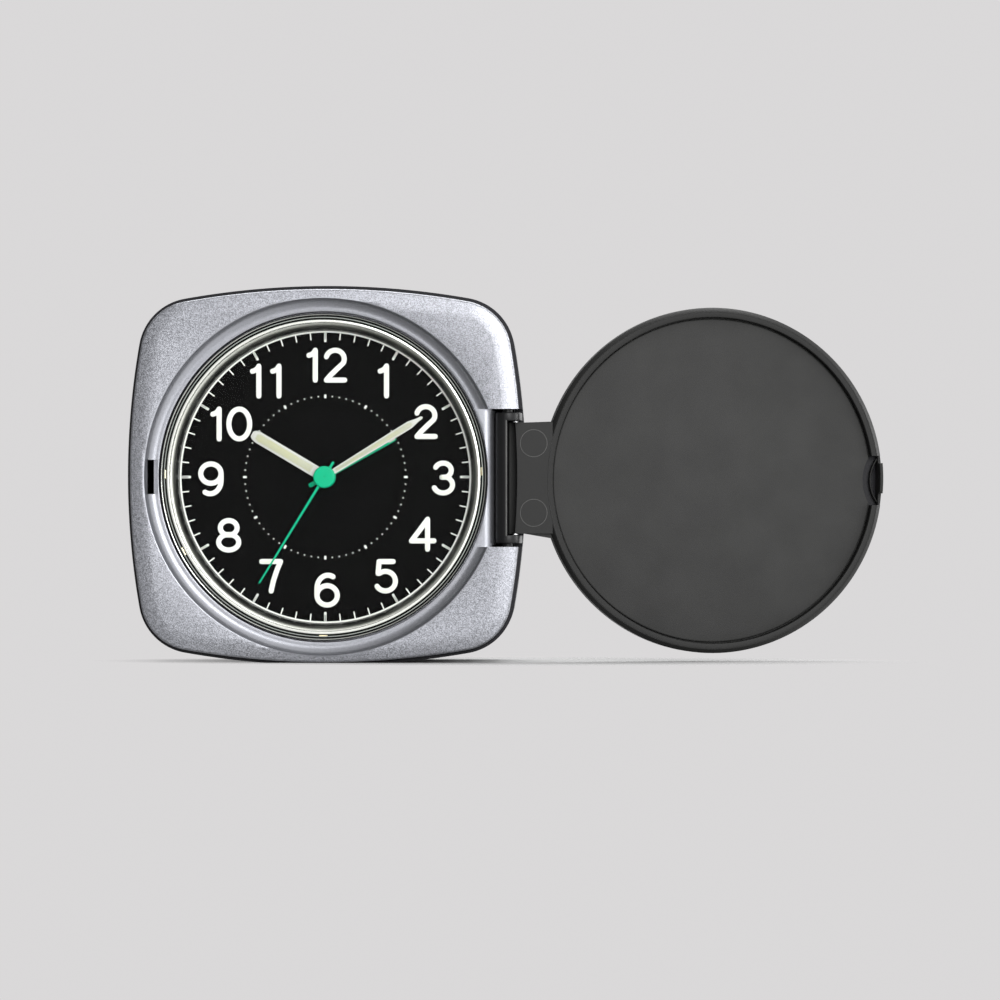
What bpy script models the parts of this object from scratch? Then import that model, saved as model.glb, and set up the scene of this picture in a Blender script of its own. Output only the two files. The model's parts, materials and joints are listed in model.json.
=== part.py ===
"""Travel alarm clock: a case with a silver bezel, a quartz movement and a round lid.

Metres, +Z up. The dial faces -Y. The lid is folded out to +X on a hinge with two upright
axes, and the clock stands on the flat foot of its case. The origin is the middle of the
foot. The movement is modelled wheel by wheel, with its teeth in mesh at rest.
"""

import math

import bmesh
import bpy
from mathutils import Matrix, Vector

MM = 0.001

# Clearances
GAP = 0.3 * MM
RUNNING_GAP = 0.15 * MM
HAND_FIT_GAP = 0.1 * MM
OVERRUN = 1.0 * MM

# Case, as a cushion outline seen from the front
CASE_HALF_WIDTH = 38.35 * MM
CASE_HALF_HEIGHT = 37.0 * MM
CASE_DEPTH = 28.0 * MM
CASE_WALL = 1.6 * MM
SIDE_ARC_RADIUS = 148.0 * MM
TOP_ARC_RADIUS = 159.4 * MM
CORNER_RADIUS = 10.9 * MM
BACK_EDGE_RADIUS = 3.4 * MM
FOOT_CUT = 0.55 * MM

# Bezel, with the recess that the lid closes into
BEZEL_INSET = 0.6 * MM
BEZEL_THICKNESS = 2.8 * MM
BEZEL_EDGE_RADIUS = 1.5 * MM
RECESS_DEPTH = 2.1 * MM
SIDE_BORDER = 3.9 * MM
TOP_BORDER = 2.55 * MM
RECESS_BLEND = 0.65 * MM
RECESS_SLOPE_WIDTH = 1.45 * MM
LAND_WIDTH = 0.8 * MM
COLLAR_WALL = 1.0 * MM
LEDGE_WIDTH = 1.3 * MM
LEDGE_THICKNESS = 0.8 * MM
CATCH_WIDTH = 2.1 * MM
CATCH_HALF_HEIGHT = 3.35 * MM
CATCH_DEPTH = 1.8 * MM
CATCH_OFFSET = 0.45 * MM

# Dial side
DIAL_DROP = 0.25 * MM
CRYSTAL_THICKNESS = 1.5 * MM
CRYSTAL_SKIRT_WALL = 1.5 * MM
HAND_ROOM = 3.6 * MM
DIAL_THICKNESS = 0.6 * MM
FLANGE_WIDTH = 1.4 * MM
FLANGE_TOP_WIDTH = 0.25 * MM

# Hands, with the room between each tip and the foot of the dial's flange
HAND_THICKNESS = 0.22 * MM
HAND_FLOOR = 0.45 * MM
HAND_PITCH = 0.65 * MM
HOUR_TIP_ROOM = 12.1 * MM
HOUR_HAND_HALF_WIDTH = 1.15 * MM
HOUR_TIP_LENGTH = 1.2 * MM
HOUR_TIP_HALF_WIDTH = 0.55 * MM
HOUR_HUB_RADIUS = 2.05 * MM
MINUTE_TIP_ROOM = 6.3 * MM
MINUTE_ROOT_HALF_WIDTH = 0.58 * MM
MINUTE_HAND_HALF_WIDTH = 0.88 * MM
MINUTE_TIP_LENGTH = 1.7 * MM
MINUTE_TIP_HALF_WIDTH = 0.34 * MM
MINUTE_HUB_RADIUS = 1.9 * MM
SECOND_TIP_ROOM = 4.3 * MM
SECOND_TAIL_LENGTH = 3.1 * MM
SECOND_ROOT_HALF_WIDTH = 0.38 * MM
SECOND_TIP_HALF_WIDTH = 0.19 * MM
SECOND_CAP_RADIUS = 2.15 * MM
SECOND_CAP_HEIGHT = 0.55 * MM
ALARM_TIP_ROOM = 12.9 * MM
ALARM_TAIL_LENGTH = 3.3 * MM
ALARM_HAND_HALF_WIDTH = 0.55 * MM
ALARM_HUB_RADIUS = 2.1 * MM
HOUR_CLOCK_ANGLE = math.radians(300.7)
MINUTE_CLOCK_ANGLE = math.radians(58.6)
SECOND_CLOCK_ANGLE = math.radians(211.6)
ALARM_CLOCK_ANGLE = math.radians(60.8)

# Movement plates and pillars
PLATE_THICKNESS = 1.0 * MM
MIDDLE_PLATE_THICKNESS = 0.8 * MM
PLATE_HALF_WIDTH = 22.0 * MM
PLATE_BELOW_CENTRE = 13.8 * MM
PLATE_TO_SWITCH_GAP = 0.8 * MM
PLATE_CORNER_RADIUS = 2.5 * MM
PILLAR_RADIUS = 1.9 * MM
PILLAR_NECK_RADIUS = 1.3 * MM
PILLAR_EDGE_DISTANCE = 2.3 * MM

# Wheels: one layer of teeth after another, counted from the front plate
WHEEL_THICKNESS = 0.7 * MM
ARBOR_RADIUS = 0.6 * MM
FINE_ARBOR_RADIUS = 0.4 * MM
PIVOT_RADIUS = 0.3 * MM
SETTING_ARBOR_RADIUS = 0.7 * MM
SECOND_ARBOR_RADIUS = 0.35 * MM
MINUTE_PIPE_BORE = 0.5 * MM
MINUTE_PIPE_RADIUS = 0.8 * MM
HOUR_PIPE_BORE = 0.95 * MM
HOUR_PIPE_RADIUS = 1.25 * MM
ALARM_PIPE_BORE = 1.4 * MM
ALARM_PIPE_RADIUS = 1.7 * MM
PIPE_STAND_OUT = 0.08 * MM
MOTION_MODULE = 0.5 * MM
TRAIN_MODULE = 0.3 * MM
SECOND_MODULE = 0.38 * MM
CANNON_TEETH = 10
MINUTE_WHEEL_TEETH = 30
MINUTE_PINION_TEETH = 8
HOUR_WHEEL_TEETH = 32
ALARM_WHEEL_TEETH = 30
ALARM_PINION_TEETH = 10
THIRD_WHEEL_TEETH = 48
THIRD_PINION_TEETH = 6
CENTRE_WHEEL_TEETH = 45
SECOND_WHEEL_TEETH = 36
SECOND_PINION_TEETH = 6
INTERMEDIATE_TEETH = 30
INTERMEDIATE_PINION_TEETH = 6
ROTOR_PINION_TEETH = 6
LEAST_WHEEL_TEETH = 12
ADDENDUM_SHARE = 0.8
DEDENDUM_SHARE = 1.15
WHEEL_TOOTH_SHARES = (0.30, 0.10)
PINION_TOOTH_SHARES = (0.27, 0.09)
MINUTE_WHEEL_ANGLE = math.radians(180.0)
ALARM_PINION_ANGLE = math.radians(0.0)
THIRD_WHEEL_ANGLE = math.radians(90.0)
INTERMEDIATE_ANGLE = math.radians(-45.0)
ROTOR_ANGLE = math.radians(-60.0)

# Stepping motor
MAGNET_RADIUS = 2.0 * MM
MAGNET_THICKNESS = 1.0 * MM
STATOR_GAP = 0.5 * MM
STATOR_THICKNESS = 0.8 * MM
STATOR_PAD_HALF_WIDTH = 3.4 * MM
STATOR_BAR_WIDTH = 1.3 * MM
STATOR_LIMB_WIDTH = 2.0 * MM
COIL_DROP = 10.6 * MM
COIL_LEFT_X = -14.5 * MM
COIL_LENGTH = 15.0 * MM
COIL_FLANGE_RADIUS = 2.6 * MM
COIL_FLANGE_THICKNESS = 0.7 * MM
WINDING_RADIUS = 2.35 * MM
BOBBIN_RADIUS = 1.3 * MM
BOBBIN_BORE = 1.0 * MM
CORE_HALF_WIDTH = 0.6 * MM
CORE_OVERHANG = 2.4 * MM

# Circuit board and what it carries
BOARD_HALF_WIDTH = 20.0 * MM
BOARD_THICKNESS = 1.0 * MM
BOARD_ABOVE_CENTRE = 5.8 * MM
BOARD_TOP_ROOM = 15.45 * MM
CHIP_SIZE = 5.0 * MM
CHIP_THICKNESS = 1.2 * MM
CHIP_X = 7.0 * MM
QUARTZ_RADIUS = 1.0 * MM
QUARTZ_LENGTH = 6.0 * MM
QUARTZ_X = 14.0 * MM
SNOOZE_SWITCH_SIZE = 6.0 * MM
SNOOZE_SWITCH_THICKNESS = 3.2 * MM
SNOOZE_SWITCH_OVERHANG = 2.0 * MM
SNOOZE_CONTACT_RADIUS = 1.2 * MM
SNOOZE_CONTACT_LENGTH = 0.4 * MM
BUZZER_TO_BOSS_GAP = 1.1 * MM
BUZZER_TO_SHELF_GAP = 1.0 * MM
BUZZER_TO_WELL_GAP = 4.6 * MM
BUZZER_TOP_ROOM = 6.25 * MM
BUZZER_THICKNESS = 3.6 * MM
SOUND_HOLE_RADIUS = 0.8 * MM
SOUND_HOLE_RING_RADIUS = 3.6 * MM
SOUND_HOLE_COUNT = 6

# Battery, one cell lying along X in the room under the movement
PLUS_CONTACT_ROOM = 1.1 * MM
MINUS_CONTACT_ROOM = 2.4 * MM
CELL_NUB_RADIUS = 2.7 * MM
CELL_NUB_LENGTH = 1.0 * MM
TROUGH_BOTTOM_Z = 5.2 * MM
TROUGH_SIDE_ROOM = 11.35 * MM
TROUGH_TO_PLATE_GAP = 0.6 * MM
TROUGH_WALL = 1.5 * MM
DOOR_THICKNESS = 1.4 * MM
THUMB_NOTCH_HALF_WIDTH = 5.0 * MM
THUMB_NOTCH_HEIGHT = 2.5 * MM
THUMB_NOTCH_DEPTH = 1.0 * MM
CONTACT_THICKNESS = 0.4 * MM
CONTACT_MARGIN = 2.75 * MM
SPRING_WIRE_RADIUS = 0.25 * MM
BATTERY_SPRING_SMALL_RADIUS = 2.0 * MM
BATTERY_SPRING_LARGE_RADIUS = 4.0 * MM
BATTERY_SPRING_TURNS = 2

# Knobs and their wells in the back wall
KNOB_RADIUS = 6.3 * MM
KNOB_FLUTE_DEPTH = 0.3 * MM
KNOB_FLUTES = 18
KNOB_THICKNESS = 2.5 * MM
KNOB_STEM_RADIUS = 1.9 * MM
KNOB_STEM_BORE = 0.85 * MM
WELL_CLEARANCE = 0.5 * MM
WELL_DEPTH = 1.6 * MM

# Snooze button on top, with its return spring and the shelf under the spring
SNOOZE_HALF_WIDTH = 12.0 * MM
SNOOZE_SETBACK = 15.0 * MM
SNOOZE_DEPTH = 7.0 * MM
SNOOZE_STAND_OUT = 0.25 * MM
SNOOZE_TRAVEL = 1.0 * MM
SNOOZE_FLANGE_WIDTH = 0.8 * MM
SNOOZE_FLANGE_THICKNESS = 1.0 * MM
SNOOZE_STEM_RADIUS = 1.3 * MM
SHELF_DROP = 10.45 * MM
SHELF_THICKNESS = 1.2 * MM
SHELF_HALF_WIDTH = 4.0 * MM
SNOOZE_SPRING_RADIUS = 2.1 * MM
SNOOZE_SPRING_TURNS = 4

# Alarm switch, which slides along X in a slot of the back wall
SWITCH_X = 17.0 * MM
SWITCH_ABOVE_CENTRE = 16.0 * MM
SWITCH_HALF_WIDTH = 2.5 * MM
SWITCH_HALF_HEIGHT = 1.8 * MM
SWITCH_TRAVEL = 3.0 * MM
SWITCH_FLANGE_WIDTH = 1.2 * MM
SWITCH_FLANGE_THICKNESS = 0.9 * MM
SWITCH_STAND_OUT = 1.0 * MM

# Screws that hold the case to the bezel
SCREW_INSET = 11.35 * MM
SCREW_DROP = 12.0 * MM
BOSS_TO_TROUGH_GAP = 0.1 * MM
LOWER_SCREW_BELOW_CASE_CENTRE = 19.0 * MM
BOSS_RADIUS = 2.9 * MM
COUNTERBORE_RADIUS = 2.1 * MM
SCREW_HEAD_RADIUS = 1.7 * MM
SCREW_HEAD_THICKNESS = 1.2 * MM
SCREW_SHANK_RADIUS = 0.75 * MM
SCREW_LENGTH = 7.0 * MM
POST_RADIUS = 2.1 * MM
POST_LENGTH = 13.9 * MM
BOSS_FLOOR = 2.0 * MM

# Hinge link, with its stubs in the case and its pin in the lid
HINGE_DROP = 0.2 * MM
LINK_AXIS_INSET = 2.4 * MM
LINK_AXIS_DEPTH = 3.0 * MM
LINK_LENGTH = 4.5 * MM
LINK_REST_ANGLE = math.radians(75.0)
LINK_SWING = math.radians(113.5)
LINK_HALF_HEIGHT = 12.73 * MM
EAR_THICKNESS = 1.6 * MM
BARREL_RADIUS = 2.4 * MM
KNUCKLE_RADIUS = 1.5 * MM
STUB_RADIUS = 1.05 * MM
STUB_LENGTH = 1.4 * MM
LID_PIN_RADIUS = 0.6 * MM
NOTCH_HALF_HEIGHT = 13.42 * MM
NOTCH_WALL = 1.5 * MM
NOTCH_FLOOR_DEPTH = 9.55 * MM
HINGE_WALL = 1.1 * MM
ROLL_RADIUS = 1.6 * MM

# Lid, drawn closed over the dial and then folded out
LID_SAG = 0.5 * MM
LID_SIDE_CLEARANCE = 0.5 * MM
LID_THICKNESS = 4.0 * MM
LID_LIFT = 1.0 * MM
LID_FACE_THICKNESS = 1.6 * MM
LID_EDGE_RADIUS = 0.9 * MM
RIM_WIDTH = 1.9 * MM
RIM_CHAMFER = 0.75 * MM
LINER_THICKNESS = 1.1 * MM
LID_PAST_FLAT = math.radians(12.0)
TONGUE_HALF_HEIGHT = 11.55 * MM
TONGUE_FLARE_START = 1.8 * MM
KNUCKLE_SIDE_GAP = 0.28 * MM
SCOOP_RADIUS = 8.9 * MM
SCOOP_DEPTH = 3.75 * MM
SCOOP_HALF_HEIGHT = 4.85 * MM
SCOOP_SILL_DEPTH = 1.0 * MM
HOOK_HALF_WIDTH = 3.0 * MM
HOOK_THICKNESS = 1.2 * MM
HOOK_INSET = 0.2 * MM
HOOK_LENGTH = 2.4 * MM

# Number of sides of round shapes, and of steps along arcs
RING_SIDES = 48
PIPE_SIDES = 14
ARBOR_SIDES = 10
BODY_SIDES = 24
SIDE_STEPS = 6
CORNER_STEPS = 5
ROUNDING_STEPS = 3
WIRE_STEPS = 8
SHARP_ANGLE = math.radians(32.0)
WELD_DISTANCE = 0.0005 * MM

# Radii about the centre of the dial, from the recess's lip inwards
RECESS_LIP_RADIUS = min(CASE_HALF_WIDTH - SIDE_BORDER, CASE_HALF_HEIGHT - TOP_BORDER)
LAND_RADIUS = RECESS_LIP_RADIUS - RECESS_SLOPE_WIDTH
BORE_RADIUS = LAND_RADIUS - LAND_WIDTH
CATCH_CENTRE_RADIUS = LAND_RADIUS + CATCH_OFFSET
FLANGE_RADIUS = BORE_RADIUS - 2 * GAP - CRYSTAL_SKIRT_WALL
FLANGE_FOOT_RADIUS = FLANGE_RADIUS - FLANGE_WIDTH
HOUR_HAND_LENGTH = FLANGE_FOOT_RADIUS - HOUR_TIP_ROOM
MINUTE_HAND_LENGTH = FLANGE_FOOT_RADIUS - MINUTE_TIP_ROOM
SECOND_HAND_LENGTH = FLANGE_FOOT_RADIUS - SECOND_TIP_ROOM
ALARM_HAND_LENGTH = FLANGE_FOOT_RADIUS - ALARM_TIP_ROOM
LID_RADIUS = RECESS_LIP_RADIUS - LID_SIDE_CLEARANCE
SCOOP_REACH = LID_RADIUS - SCOOP_DEPTH
HOOK_OUTER_RADIUS = LID_RADIUS - HOOK_INSET

# Planes across the depth, from the front to the back
FRONT_Y = -CASE_DEPTH / 2
BACK_Y = CASE_DEPTH / 2
SEAM_Y = FRONT_Y + BEZEL_THICKNESS
CASE_FRONT_Y = SEAM_Y + GAP
POST_BACK_Y = SEAM_Y + POST_LENGTH
SNOOZE_FRONT_Y = FRONT_Y + SNOOZE_SETBACK
LAND_Y = FRONT_Y + RECESS_DEPTH
CRYSTAL_BACK_Y = LAND_Y + CRYSTAL_THICKNESS
DIAL_Y = CRYSTAL_BACK_Y + HAND_ROOM
DIAL_BACK_Y = DIAL_Y + DIAL_THICKNESS
FRONT_PLATE_Y = DIAL_BACK_Y + GAP
FRONT_PLATE_BACK_Y = FRONT_PLATE_Y + PLATE_THICKNESS
LAYER_PITCH = WHEEL_THICKNESS + GAP
ALARM_LAYER_Y = FRONT_PLATE_BACK_Y + GAP
HOUR_LAYER_Y = ALARM_LAYER_Y + LAYER_PITCH
CANNON_LAYER_Y = HOUR_LAYER_Y + LAYER_PITCH
MIDDLE_PLATE_Y = CANNON_LAYER_Y + LAYER_PITCH
MIDDLE_PLATE_BACK_Y = MIDDLE_PLATE_Y + MIDDLE_PLATE_THICKNESS
CENTRE_LAYER_Y = MIDDLE_PLATE_BACK_Y + GAP
THIRD_LAYER_Y = CENTRE_LAYER_Y + LAYER_PITCH
SECOND_LAYER_Y = THIRD_LAYER_Y + LAYER_PITCH
MOTOR_LAYER_Y = SECOND_LAYER_Y + LAYER_PITCH
STATOR_Y = MOTOR_LAYER_Y + LAYER_PITCH
COIL_Y = MIDDLE_PLATE_BACK_Y + GAP + COIL_FLANGE_RADIUS
REAR_PLATE_Y = COIL_Y + COIL_FLANGE_RADIUS + GAP
REAR_PLATE_BACK_Y = REAR_PLATE_Y + PLATE_THICKNESS
BOARD_Y = REAR_PLATE_BACK_Y + GAP
BOARD_BACK_Y = BOARD_Y + BOARD_THICKNESS
BACK_WALL_Y = BACK_Y - CASE_WALL
WELL_FLOOR_Y = BACK_Y - WELL_DEPTH
KNOB_Y = WELL_FLOOR_Y + GAP

# Heights and centres
CASE_CENTRE_Z = CASE_HALF_HEIGHT - FOOT_CUT
CASE_TOP_Z = CASE_CENTRE_Z + CASE_HALF_HEIGHT
DIAL_Z = CASE_CENTRE_Z - DIAL_DROP
HINGE_Z = DIAL_Z - HINGE_DROP
LID_Z = DIAL_Z - LID_SAG
SHELF_HEIGHT = CASE_TOP_Z - SHELF_DROP
SHELF_TOP_Z = SHELF_HEIGHT + SHELF_THICKNESS
SNOOZE_Y = SNOOZE_FRONT_Y + SNOOZE_DEPTH / 2
BOARD_BOTTOM_Z = DIAL_Z + BOARD_ABOVE_CENTRE
BOARD_TOP_Z = CASE_TOP_Z - BOARD_TOP_ROOM
SWITCH_TOP_Z = BOARD_TOP_Z + SNOOZE_SWITCH_OVERHANG
PLATE_BOTTOM_Z = DIAL_Z - PLATE_BELOW_CENTRE
PLATE_TOP_Z = SWITCH_TOP_Z - SNOOZE_SWITCH_SIZE - PLATE_TO_SWITCH_GAP
CENTRE_AXIS = (0.0, DIAL_Z)

# Battery, the largest cell for the room below the movement and behind the dial
TROUGH_HALF_WIDTH = CASE_HALF_WIDTH - TROUGH_SIDE_ROOM
CELL_ROOM_HEIGHT = PLATE_BOTTOM_Z - TROUGH_TO_PLATE_GAP - TROUGH_WALL - TROUGH_BOTTOM_Z
CELL_ROOM_DEPTH = BACK_Y - DOOR_THICKNESS - DIAL_BACK_Y - 2 * GAP - TROUGH_WALL
CELL_RADIUS = min(CELL_ROOM_HEIGHT, CELL_ROOM_DEPTH) / 2 - GAP
CELL_CENTRE_HEIGHT = TROUGH_BOTTOM_Z + GAP + CELL_RADIUS
TROUGH_TOP_Z = CELL_CENTRE_HEIGHT + CELL_RADIUS + GAP
TROUGH_FRONT_Y = BACK_Y - DOOR_THICKNESS - 2 * (CELL_RADIUS + GAP)
CELL_Y = TROUGH_FRONT_Y + GAP + CELL_RADIUS
CELL_NUB_X = PLUS_CONTACT_ROOM - TROUGH_HALF_WIDTH
CELL_RIGHT_X = TROUGH_HALF_WIDTH - MINUS_CONTACT_ROOM

# Screws and buzzer
SCREW_X = CASE_HALF_WIDTH - SCREW_INSET
LOWER_SCREW_X = TROUGH_HALF_WIDTH + TROUGH_WALL + BOSS_RADIUS + BOSS_TO_TROUGH_GAP
WELL_RADIUS = KNOB_RADIUS + WELL_CLEARANCE
BUZZER_ROOM_WIDTH = (SCREW_X - BOSS_RADIUS - BUZZER_TO_BOSS_GAP
                     - SHELF_HALF_WIDTH - BUZZER_TO_SHELF_GAP)
BUZZER_TOP_Z = CASE_TOP_Z - BUZZER_TOP_ROOM
BUZZER_ROOM_HEIGHT = BUZZER_TOP_Z - DIAL_Z - WELL_RADIUS - CASE_WALL - BUZZER_TO_WELL_GAP
BUZZER_RADIUS = min(BUZZER_ROOM_WIDTH, BUZZER_ROOM_HEIGHT) / 2
BUZZER_AXIS = (-SHELF_HALF_WIDTH - BUZZER_TO_SHELF_GAP - BUZZER_RADIUS, BUZZER_TOP_Z - BUZZER_RADIUS)


def polar(centre, radius, angle):
    """The point at a radius and an angle round a centre."""
    return (centre[0] + radius * math.cos(angle), centre[1] + radius * math.sin(angle))


def mesh_distance(module, teeth, other_teeth):
    """The distance between the axes of two wheels in mesh."""
    return module * (teeth + other_teeth) / 2


MOTION_DISTANCE = mesh_distance(MOTION_MODULE, CANNON_TEETH, MINUTE_WHEEL_TEETH)
ALARM_DISTANCE = mesh_distance(MOTION_MODULE, ALARM_PINION_TEETH, ALARM_WHEEL_TEETH)
THIRD_DISTANCE = mesh_distance(TRAIN_MODULE, SECOND_PINION_TEETH, THIRD_WHEEL_TEETH)
CENTRE_MODULE = 2 * THIRD_DISTANCE / (THIRD_PINION_TEETH + CENTRE_WHEEL_TEETH)
HOUR_MODULE = 2 * MOTION_DISTANCE / (MINUTE_PINION_TEETH + HOUR_WHEEL_TEETH)
INTERMEDIATE_DISTANCE = mesh_distance(SECOND_MODULE, INTERMEDIATE_PINION_TEETH, SECOND_WHEEL_TEETH)
ROTOR_DISTANCE = mesh_distance(TRAIN_MODULE, INTERMEDIATE_TEETH, ROTOR_PINION_TEETH)
MINUTE_WHEEL_AXIS = polar(CENTRE_AXIS, MOTION_DISTANCE, MINUTE_WHEEL_ANGLE)
ALARM_SETTING_AXIS = polar(CENTRE_AXIS, ALARM_DISTANCE, ALARM_PINION_ANGLE)
THIRD_AXIS = polar(CENTRE_AXIS, THIRD_DISTANCE, THIRD_WHEEL_ANGLE)
INTERMEDIATE_AXIS = polar(CENTRE_AXIS, INTERMEDIATE_DISTANCE, INTERMEDIATE_ANGLE)
ROTOR_AXIS = polar(INTERMEDIATE_AXIS, ROTOR_DISTANCE, ROTOR_ANGLE)

LINK_AXIS = (CASE_HALF_WIDTH - LINK_AXIS_INSET, FRONT_Y + LINK_AXIS_DEPTH)
NOTCH_LEFT_X = LINK_AXIS[0] - BARREL_RADIUS - RUNNING_GAP
LID_AXIS = polar(LINK_AXIS, LINK_LENGTH, LINK_REST_ANGLE)
LID_AXIS_CLOSED = polar(LINK_AXIS, LINK_LENGTH, LINK_REST_ANGLE - LINK_SWING)
LID_INNER_Y = LAND_Y - LID_LIFT
LID_OUTER_Y = LID_INNER_Y - LID_THICKNESS
LID_FLOOR_Y = LID_OUTER_Y + LID_FACE_THICKNESS
RIM_INNER_RADIUS = LID_RADIUS - RIM_WIDTH
LID_OPENING = math.pi + LID_PAST_FLAT


def place(u, v, along, axis):
    """A point from its place along an axis and its two other coordinates in X, Y, Z order."""
    if axis == "X":
        return Vector((along, u, v))
    if axis == "Y":
        return Vector((u, along, v))
    return Vector((u, v, along))


def unit(axis):
    """The direction of an axis."""
    return place(0.0, 0.0, 1.0, axis)


def arc(centre, radius, start, end, steps):
    """Points along an arc, both ends included."""
    return [polar(centre, radius, start + (end - start) * i / steps) for i in range(steps + 1)]


def circle(centre, radius, sides):
    """The corners of a many-sided round outline."""
    return arc(centre, radius, 0.0, math.tau, sides)[:-1]


def outward(mesh):
    """Turn the faces of a closed shape outwards."""
    bmesh.ops.recalc_face_normals(mesh, faces=mesh.faces)
    if mesh.calc_volume(signed=True) < 0.0:
        bmesh.ops.reverse_faces(mesh, faces=mesh.faces)
    return mesh


def prism(outline, start, end, axis="Y"):
    """A straight solid between two places along an axis, from a closed outline."""
    mesh = bmesh.new()
    corners = [mesh.verts.new(place(u, v, start, axis)) for u, v in outline]
    face = mesh.faces.new(corners)
    grown = bmesh.ops.extrude_face_region(mesh, geom=[face])
    moved = [item for item in grown["geom"] if isinstance(item, bmesh.types.BMVert)]
    bmesh.ops.translate(mesh, verts=moved, vec=unit(axis) * (end - start))
    return outward(mesh)


def block(x_range, y_range, z_range):
    """A box between two corners."""
    corners = [(x, z) for x, z in zip(
        (x_range[0], x_range[1], x_range[1], x_range[0]),
        (z_range[0], z_range[0], z_range[1], z_range[1]))]
    return prism(corners, y_range[0], y_range[1])


def turned(profile, centre, axis="Y", sides=PIPE_SIDES):
    """A solid of revolution from (radius, place along the axis) points of its section."""
    mesh = bmesh.new()
    verts = [mesh.verts.new(place(centre[0] + r, centre[1], along, axis)) for r, along in profile]
    edges = [mesh.edges.new(pair) for pair in zip(verts, verts[1:])]
    if profile[0][0] > 0.0:
        edges.append(mesh.edges.new((verts[-1], verts[0])))
    bmesh.ops.spin(mesh, geom=verts + edges, cent=place(centre[0], centre[1], 0.0, axis),
                   axis=unit(axis), dvec=Vector(), angle=math.tau, steps=sides, use_merge=True)
    bmesh.ops.remove_doubles(mesh, verts=mesh.verts, dist=WELD_DISTANCE)
    return outward(mesh)


def rod(centre, radius, start, end, axis="Y", sides=PIPE_SIDES):
    """A plain round bar, or the cutter of a round hole."""
    return turned([(0.0, start), (radius, start), (radius, end), (0.0, end)], centre, axis, sides)


def tube(centre, bore, radius, start, end, axis="Y", sides=PIPE_SIDES):
    """A plain round tube."""
    section = [(bore, start), (radius, start), (radius, end), (bore, end)]
    return turned(section, centre, axis, sides)


def loft(rings, depths):
    """A closed solid through outlines of equal count at given depths along Y."""
    mesh = bmesh.new()
    rows = [[mesh.verts.new(place(x, z, y, "Y")) for x, z in ring] for ring, y in zip(rings, depths)]
    count = len(rows[0])
    for row, following in zip(rows, rows[1:]):
        for i in range(count):
            j = (i + 1) % count
            mesh.faces.new((row[i], row[j], following[j], following[i]))
    mesh.faces.new(rows[0])
    mesh.faces.new(rows[-1])
    return outward(mesh)


def cushion(inset):
    """The case outline, four shallow arcs with round corners, drawn in by an inset."""
    side_centre = CASE_HALF_WIDTH - SIDE_ARC_RADIUS
    top_centre = CASE_HALF_HEIGHT - TOP_ARC_RADIUS
    side_reach = SIDE_ARC_RADIUS - CORNER_RADIUS
    top_reach = TOP_ARC_RADIUS - CORNER_RADIUS
    span = math.hypot(side_centre, top_centre)
    along = (side_reach ** 2 - top_reach ** 2 + span ** 2) / (2 * span)
    across = math.sqrt(side_reach ** 2 - along ** 2)
    to_x = -side_centre / span
    to_z = top_centre / span
    corner_x = side_centre + along * to_x - across * to_z
    corner_z = along * to_z + across * to_x
    low = math.atan2(corner_z, corner_x - side_centre)
    high = math.atan2(corner_z - top_centre, corner_x)
    side = arc((side_centre, 0.0), SIDE_ARC_RADIUS - inset, 0.0, low, SIDE_STEPS // 2)
    corner = arc((corner_x, corner_z), CORNER_RADIUS - inset, low, high, CORNER_STEPS)
    top = arc((0.0, top_centre), TOP_ARC_RADIUS - inset, high, math.pi / 2, SIDE_STEPS // 2)
    quarter = side[:-1] + corner + top[1:]
    half = quarter + [(-x, z) for x, z in reversed(quarter[:-1])]
    whole = half + [(x, -z) for x, z in reversed(half[1:-1])]
    return [(x, CASE_CENTRE_Z + z) for x, z in whole]


def rounded_cushion(inset, front, back, round_radius, at_front):
    """A cushion solid with its front or back edge rounded to a radius."""
    rings = []
    depths = []
    for i in range(ROUNDING_STEPS + 1):
        angle = math.pi / 2 * i / ROUNDING_STEPS
        rings.append(cushion(inset + round_radius * (1 - math.cos(angle))))
        fall = round_radius * (1 - math.sin(angle))
        depths.append(front + fall if at_front else back - fall)
    straight = back if at_front else front
    return loft([cushion(inset)] + rings, [straight] + depths)


def rounded_rectangle(left, right, bottom, top, radius):
    """A rectangle with round corners."""
    corners = ((right, top, 0.0), (left, top, math.pi / 2), (left, bottom, math.pi),
               (right, bottom, 3 * math.pi / 2))
    points = []
    for x, z, start in corners:
        inward_x = x - radius if x == right else x + radius
        inward_z = z - radius if z == top else z + radius
        points += arc((inward_x, inward_z), radius, start, start + math.pi / 2, ROUNDING_STEPS)
    return points


def capsule(first, first_radius, second, second_radius):
    """The outline round two circles of unlike radius."""
    heading = math.atan2(second[1] - first[1], second[0] - first[0])
    span = math.hypot(second[0] - first[0], second[1] - first[1])
    lean = math.acos((first_radius - second_radius) / span)
    far = arc(first, first_radius, heading + lean, heading + math.tau - lean, BODY_SIDES // 2)
    near = arc(second, second_radius, heading - lean, heading + lean, PIPE_SIDES // 2)
    return far + near


def gear_outline(axis, teeth, module, tooth_angle):
    """Trapezium teeth round an axis, one of them centred on an angle."""
    shares = WHEEL_TOOTH_SHARES if teeth > LEAST_WHEEL_TEETH else PINION_TOOTH_SHARES
    pitch_radius = module * teeth / 2
    root = pitch_radius - DEDENDUM_SHARE * module
    tip = pitch_radius + ADDENDUM_SHARE * module
    pitch = math.tau / teeth
    points = []
    for i in range(teeth):
        middle = tooth_angle + i * pitch
        for radius, share in ((root, -shares[0]), (tip, -shares[1]), (tip, shares[1]), (root, shares[0])):
            points.append(polar(axis, radius, middle + share * pitch))
    return points


def gear(axis, teeth, module, front, tooth_angle):
    """One layer of teeth."""
    return prism(gear_outline(axis, teeth, module, tooth_angle), front, front + WHEEL_THICKNESS)


def driving_gear(axis, teeth, module, front, towards):
    """Teeth with one pointing in the direction of the wheel they mesh with."""
    return gear(axis, teeth, module, front, towards)


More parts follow.
